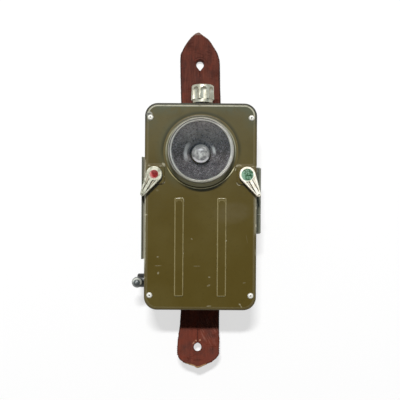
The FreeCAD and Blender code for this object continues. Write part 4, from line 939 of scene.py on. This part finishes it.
def leather_strap():
    """One long strip, split down its middle at the buttonholes, bent up at its foot."""
    table = np.array(STRAP_OUTLINE)[::-1]
    split = np.array(SPLIT_LINE)

    def edge_at(y, column):
        return np.interp(y, table[:, 0], table[:, column])

    rows = strap_rows()
    form = bmesh.new()
    flat = form.loops.layers.uv.new("flat")
    marks = [form.verts.layers.float.new(name) for name in ("cut_edge", "frayed_end", "bevelled_tip")]
    spot = {}
    rings = []
    for y in rows:
        left, right = edge_at(y, 1), edge_at(y, 2)
        slopes = [(edge_at(y + 0.4, k) - edge_at(y - 0.4, k)) / 0.8 for k in (1, 2)]
        ragged = 0.08 + 0.24 * smooth(-y, 88, 94) + 0.1 * smooth(-y, 104, 108)
        left += ragged * sin(y * 7.1) * sin(y * 2.3)
        right += ragged * sin(y * 6.3 + 1) * sin(y * 1.9)
        middle = float(np.interp(y, split[:, 0], split[:, 1]))
        gap = opening(y)
        ring = []
        for side, edge, slope in ((-1, middle - left, slopes[0]), (1, right - middle, slopes[1])):
            reach = max(edge, 0.05)
            ring.append([place_on_strap(form, x + middle, z, near, y, marks, spot)
                         for x, z, near in lane(min(gap, reach * 0.6), reach, side, slope)])
        rings.append((gap, ring))
    for (gap_a, ring_a), (gap_b, ring_b) in zip(rings, rings[1:]):
        for side in (0, 1):
            a, b = ring_a[side], ring_b[side]
            count = len(a)
            for k in range(count):
                if gap_a == 0 and gap_b == 0 and k >= count - 2:
                    continue
                n = (k + 1) % count
                corners = [a[k], a[n], b[n], b[k]]
                add_strap_face(form, corners if side else corners[::-1], flat, spot)
    for ring in (rings[0][1], rings[-1][1]):
        for loop in ring:
            add_strap_face(form, loop, flat, spot)
    bmesh.ops.remove_doubles(form, verts=form.verts, dist=1e-6)
    bmesh.ops.dissolve_degenerate(form, edges=form.edges, dist=1e-7)
    loose = [v for v in form.verts if not v.link_faces]
    bmesh.ops.delete(form, geom=loose, context="VERTS")
    bmesh.ops.recalc_face_normals(form, faces=form.faces)
    mesh = mesh_of(form, "leather_strap_piece")
    shade_by_angle(mesh, 50)
    return mesh


def add_strap_face(form, corners, flat, spot):
    face = form.faces.new(corners)
    for loop in face.loops:
        x, along = spot[loop.vert]
        loop[flat].uv = (x * MM, along * MM)


def place_on_strap(form, x, z, near, y, marks, spot):
    """One point of the strap, laid on its path with the sag, cup and swell of old leather."""
    run = run_at(y)
    path_y, path_z, angle = strap_path(run)
    free = smooth(abs(y), 74, 92)
    sag = -TIP_SAG * smooth(y, 72, 96)
    cup = FOOT_CUP * (x / STRAP_HALF_WIDTH) ** 2 * smooth(-y, 82, 108)
    wave = WAVE_HEIGHT * sin(y * 0.19 + 1.3) * sin(x * 0.21 + y * 0.05) * free
    lip = 0.0
    for hole_x, hole_y in (TOP_HOLE, FOOT_HOLE):
        reach = hypot(x - hole_x, y - hole_y)
        lip += LIP_HEIGHT * exp(-((reach - 4.2) / 1.6) ** 2) * smooth(z, 0, 1)
    lift = z + sag + cup + wave + lip
    vert = form.verts.new((x * MM, (path_y + lift * sin(angle)) * MM,
                           (path_z + lift * cos(angle)) * MM))
    cut_edge, frayed_end, bevelled_tip = marks
    vert[cut_edge] = near
    vert[frayed_end] = smooth(-y, 108.5, 112.5) * 0.8 + 0.45 * smooth(-y, 101, 107) * (near > 0.7)
    at_point = smooth(y, 117, 122) * max(near, smooth(y, 121.6, 123.2))
    vert[bevelled_tip] = max(0.6 * smooth(y, 108, 115) * near, at_point)
    spot[vert] = (x, BEND_START_Y - run)
    return vert


# -------------- repeated parts, by nodes
def node_tree(name, inputs):
    """An empty geometry tree with a mesh input and the named inputs."""
    tree = bpy.data.node_groups.new(name, "GeometryNodeTree")
    through = ("Geometry", "Geometry")
    for way, (label, kind) in (("INPUT", through), ("OUTPUT", through), *(("INPUT", i) for i in inputs)):
        tree.interface.new_socket(label, in_out=way, socket_type="NodeSocket" + kind)
    return tree, tree.nodes.new("NodeGroupInput").outputs, tree.nodes.new("NodeGroupOutput").inputs


def set_on_points(tree, given, out, piece, material, **turned):
    """Put the piece on each start point, as real geometry in one look."""
    points = output_of(tree, "GeometryNodeMeshToPoints", Mesh=given["Geometry"])
    placed = output_of(tree, "GeometryNodeInstanceOnPoints", Points=points, Instance=piece, **turned)
    solid = output_of(tree, "GeometryNodeRealizeInstances", Geometry=placed)
    feed(out[0], output_of(tree, "GeometryNodeSetMaterial", Geometry=solid, Material=material))
    return tree


def scatter_tree(material):
    """One turned piece on each start point, with a small seeded tilt and any turn."""
    tree, given, out = node_tree("set_in_places", (("Piece", "Object"), ("Tilt", "Float"), ("Seed", "Int")))
    piece = tree_node(tree, "GeometryNodeObjectInfo", Object=given["Piece"]).outputs["Geometry"]
    tilt = given["Tilt"]
    back = product(tree, tilt, -1.0)
    low = output_of(tree, "ShaderNodeCombineXYZ", X=back, Y=back, Z=-pi)
    high = output_of(tree, "ShaderNodeCombineXYZ", X=tilt, Y=tilt, Z=pi)
    turn = output_of(tree, "FunctionNodeRandomValue", {"data_type": "FLOAT_VECTOR"}, Seed=given["Seed"],
                     Min=low, Max=high)
    return set_on_points(tree, given, out, piece, material, Rotation=turn)


def coil_tree(material):
    """A round wire wound as a helix along the start point's Z."""
    tree, given, out = node_tree("wound_wire", [
        (label, "Float") for label in ("Coil radius", "Length", "Turns", "Wire radius")])
    helix = output_of(tree, "GeometryNodeCurveSpiral", Resolution=24, Rotations=given["Turns"],
                      Start_Radius=given["Coil radius"], End_Radius=given["Coil radius"],
                      Height=given["Length"])
    wire = output_of(tree, "GeometryNodeCurvePrimitiveCircle", Resolution=8, Radius=given["Wire radius"])
    swept = output_of(tree, "GeometryNodeCurveToMesh", Curve=helix, Profile_Curve=wire, Fill_Caps=True)
    rounded = output_of(tree, "GeometryNodeSetShadeSmooth", Geometry=swept)
    return set_on_points(tree, given, out, rounded, material)


def grown(name, start, tree, values, material):
    """Run a tree on a start mesh and keep the result as a plain mesh."""
    holder = in_scene(name + "_holder", start)
    modifier = holder.modifiers.new("grow", "NODES")
    modifier.node_group = tree
    for item in tree.interface.items_tree:
        if item.in_out == "INPUT" and item.name in values:
            modifier[item.identifier] = values[item.name]
    bpy.context.view_layer.update()
    graph = bpy.context.evaluated_depsgraph_get()
    mesh = bpy.data.meshes.new_from_object(holder.evaluated_get(graph))
    mesh.name = name
    holder.modifiers.remove(modifier)
    bpy.data.objects.remove(holder)
    mesh.materials.clear()
    mesh.materials.append(material)
    return mesh


def points_mesh(name, points):
    mesh = bpy.data.meshes.new(name)
    mesh.from_pydata([tuple(c * MM for c in p) for p in points], [], [])
    return mesh


def turned_mesh(name, profile, sides):
    """Revolve a closed outline of (radius, height) points, in millimetres, about Z."""
    form = bmesh.new()
    rings = []
    for radius, height in profile:
        count = sides if radius > 0 else 1
        rings.append([form.verts.new((radius * MM * cos(tau * i / sides),
                                      radius * MM * sin(tau * i / sides), height * MM))
                      for i in range(count)])
    for a, b in zip(rings, rings[1:]):
        for i in range(sides):
            n = (i + 1) % sides
            corners = [a[i % len(a)], a[n % len(a)], b[n % len(b)], b[i % len(b)]]
            form.faces.new(list(dict.fromkeys(corners)))
    bmesh.ops.recalc_face_normals(form, faces=form.faces)
    return mesh_of(form, name)


def set_pieces(name, profile, points, tilt, seed, material, sides=32):
    """The same turned piece at every point, as one plain mesh."""
    single = in_scene(name + "_single", turned_mesh(name + "_single", profile, sides))
    values = {"Piece": single, "Tilt": tilt, "Seed": seed}
    mesh = grown(name, points_mesh(name, points), scatter_tree(material), values, material)
    bpy.data.objects.remove(single)
    shade_by_angle(mesh, 40)
    return mesh


# -------------- stage and light
# The sizes and distances of the lamp and the floor are in metres here.
CAMERA_PLACE = (-0.35, 4.36, 438.8)
CAMERA_ROLL = 0.39
CAMERA_LENS = 54.8
KEY_DIRECTION = (-0.07, 0.56, 1.0)
KEY_DISTANCE = 2.4
KEY_WIDTH = 0.5
KEY_DEPTH = 0.12
KEY_POWER = 61.0
FLOOR_REACH = 3.0
FLOOR_Z = -0.00005
FLOOR_GLOW = 0.64
ROOM_LOW, ROOM_HIGH = 0.95, 0.12
ROOM_FILL = 0.38
CARD_COLOUR = (0.35, 0.75, 1.0, 1)
CARD_LEVEL = 0.95
WHITE = (1, 1, 1, 1)


def floor_and_backdrop():
    mesh = bpy.data.meshes.new("floor")
    corners = ((-1, -1), (1, -1), (1, 1), (-1, 1))
    mesh.from_pydata([(x * FLOOR_REACH, y * FLOOR_REACH, FLOOR_Z) for x, y in corners], [], [(0, 1, 2, 3)])
    floor = in_scene("floor", mesh)
    material = bpy.data.materials.new("white_table")
    tree = cleared_tree(material)
    paper = output_of(tree, "ShaderNodeBsdfDiffuse", Color=(0.97, 0.97, 0.97, 1))
    glow = output_of(tree, "ShaderNodeEmission", Color=WHITE, Strength=1.0)
    path = tree.nodes.new("ShaderNodeLightPath").outputs
    mirrored = either(tree, path["Is Glossy Ray"], path["Is Transmission Ray"])
    seen = either(tree, path["Is Camera Ray"], mirrored)
    share = product(tree, seen, FLOOR_GLOW)
    both = feed_in_order(tree.nodes.new("ShaderNodeMixShader"), share, paper, glow)
    tree_node(tree, "ShaderNodeOutputMaterial", Surface=both)
    mesh.materials.append(material)


def studio_light():
    """White room: bright near the horizon, darker overhead, with a pale blue card and one
    long lamp beyond the top."""
    world = bpy.context.scene.world = bpy.data.worlds.new("white_room")
    tree = cleared_tree(world)
    heading = tree.nodes.new("ShaderNodeTexCoord").outputs["Generated"]
    _, beyond, up = tree_node(tree, "ShaderNodeSeparateXYZ", Vector=heading).outputs
    shade = output_of(tree, "ShaderNodeMapRange", Value=up, From_Min=0.1, From_Max=0.9,
                      To_Min=ROOM_LOW, To_Max=ROOM_HIGH)
    path = tree.nodes.new("ShaderNodeLightPath").outputs
    fill = product(tree, shade, ROOM_FILL)
    lit = output_of(tree, "ShaderNodeMix", Factor=path["Is Glossy Ray"], A=fill, B=shade)
    seen = either(tree, path["Is Camera Ray"], path["Is Transmission Ray"])
    strength = output_of(tree, "ShaderNodeMix", Factor=seen, A=lit, B=1.0)
    room = output_of(tree, "ShaderNodeBackground", Color=WHITE, Strength=strength)
    card = product(tree, soft_step(tree, beyond, 0.0, 0.17), soft_step(tree, beyond, 0.5, 0.3))
    level = product(tree, product(tree, card, path["Is Glossy Ray"]), CARD_LEVEL)
    sky_card = output_of(tree, "ShaderNodeBackground", Color=CARD_COLOUR, Strength=level)
    both = feed_in_order(tree.nodes.new("ShaderNodeAddShader"), room, sky_card)
    tree_node(tree, "ShaderNodeOutputWorld", Surface=both)

    toward = Vector(KEY_DIRECTION).normalized()
    light = bpy.data.lights.new("key_lamp", "AREA")
    light.shape = "RECTANGLE"
    light.size, light.size_y = KEY_WIDTH, KEY_DEPTH
    light.energy = KEY_POWER
    lamp = in_scene("key_lamp", light)
    lamp.location = toward * KEY_DISTANCE
    lamp.rotation_euler = toward.to_track_quat("Z", "Y").to_euler()


def camera():
    data = bpy.data.cameras.new("camera")
    data.lens = CAMERA_LENS
    data.clip_start, data.clip_end = 0.01, 10.0
    made = bpy.context.scene.camera = in_scene("camera", data)
    made.location = Vector(CAMERA_PLACE) * MM
    made.rotation_euler = (0, 0, radians(CAMERA_ROLL))


# -------------- assembly
finishes = {
    "olive_paint": olive_case(),
    "dark_green_paint": dark_green_enamel(),
    "collar_paint": collar_enamel(),
    "nickel": plated("dulled_nickel", (214, 213, 200), (180, 180, 166), 0.42),
    "ring_metal": turned_ring(),
    "reflector_metal": reflector_metal(),
    "zinc_sheet": plated("zinc_sheet", (178, 177, 172), (154, 154, 151), 0.36),
    "plain_steel": plated("plain_steel", (176, 175, 170), (128, 126, 120), 0.32),
    "spring_steel": plated("spring_steel", (140, 142, 150), (96, 98, 108), 0.3),
    "ball_metal": thumbed_ball(),
    "black_bakelite": moulded("black_bakelite", (13, 12, 9), (40, 37, 30), 0.34),
    "red_stone": jewel_enamel("red_enamel", (-PIVOT[0], PIVOT[1]), 2.5, (112, 0, 3), (196, 44, 46),
                              (226, 150, 146), 0.08),
    "green_stone": jewel_enamel("green_enamel", PIVOT, 3.8, (32, 74, 38), (98, 146, 112),
                                (146, 182, 160), 0.8),
    "clear_glass": clear_glass("front_glass", (0.98, 0.98, 0.98, 1), 0.0, 0.006, 1.25),
    "bulb_glass": frosted_bulb(),
    "red_glass": clear_glass("red_filter_glass", (0.75, 0.03, 0.03, 1), 0.02, 0.05),
    "green_glass": clear_glass("green_filter_glass", (0.04, 0.5, 0.16, 1), 0.02, 0.05),
    "brass": plated("aged_brass", (196, 160, 92), (138, 108, 60), 0.32),
    "fibre": fibrous("pressed_fibre", dict(size=0.7, roughness=0.65, stretch=(3, 1, 1)), 0.35, (92, 48, 30),
                     (122, 70, 44), 0.03, 0.6),
    "felt": fibrous("grey_felt", dict(size=0.5, detail=5, roughness=0.75, twist=1.5), 0.3, (88, 84, 76),
                    (128, 124, 114), 0.25, 0.95, Sheen_Weight=0.3),
    "battery_card": card(),
    "seal_rubber": rubber(),
    "strap_leather": leather(),
}
for node in nodes.values():
    for place in node.material_slots:
        place.material = finishes[place.material.name.split(".")[0]]
own_finish = {
    "front_cover": olive_front(),
    "key_knob": plated("knob_nickel", (196, 190, 172), (160, 156, 138), 0.5, 0.8, (70, 66, 50)),
    "bulb_socket": plated("tarnished_socket", (72, 64, 50), (42, 38, 32), 0.5),
    # The bush is painted pale, lighter than its metal, as light in the shade under the knob.
    "key_bush": moulded("bush_painted_pale", (200, 197, 182), (222, 219, 204), 0.4),
}
own_finish["red_lever"] = own_finish["green_lever"] = worn_lever()
own_finish["catch_leaf"] = own_finish["catch_foot"] = faded_catch_enamel()
for name, material in own_finish.items():
    nodes[name].material_slots[0].material = material

strap_mesh = leather_strap()
strap_mesh.materials.append(finishes["strap_leather"])
new_piece("worn_leather_strap", strap_mesh, "strap_leather", "strap", "leather_strap")

RIVET_TILT, RIVET_SEED = 0.012, 4
rivet_profile = ((0, 0.72), (0.35, 0.78), (0.62, 0.98), (0.85, 1.0), (1.25, 0.88), (1.6, 0.62), (1.86, 0.28),
                 (1.95, 0.06), (1.93, 0.0), (0.88, 0.0), (0.88, -6.8), (1.4, -6.8), (1.5, -7.0), (1.3, -7.2),
                 (0, -7.28))
rivet_places = [(sx * RIVET_CORNER[0], sy * RIVET_CORNER[1], PANEL_Z) for sx in (-1, 1) for sy in (-1, 1)]
rivets = set_pieces("dimpled_cover_rivets", rivet_profile, rivet_places, RIVET_TILT, RIVET_SEED,
                    rivet_nickel())
new_piece("dimpled_cover_rivets", rivets, "nickel", "cover", "cover_rivets")

THREAD_FOOT_Z = 9.0
thread_sizes = {"Coil radius": 4.62 * MM, "Length": 6.0 * MM, "Turns": 3.5, "Wire radius": 0.25 * MM}
thread = grown("bulb_thread", points_mesh("bulb_thread", [(*LENS_CENTRE, THREAD_FOOT_Z)]),
               coil_tree(finishes["nickel"]), thread_sizes, finishes["nickel"])
new_piece("bulb_thread", thread, "nickel", "case")

floor_and_backdrop()
studio_light()
camera()
bpy.context.scene.view_settings.view_transform = "Standard"
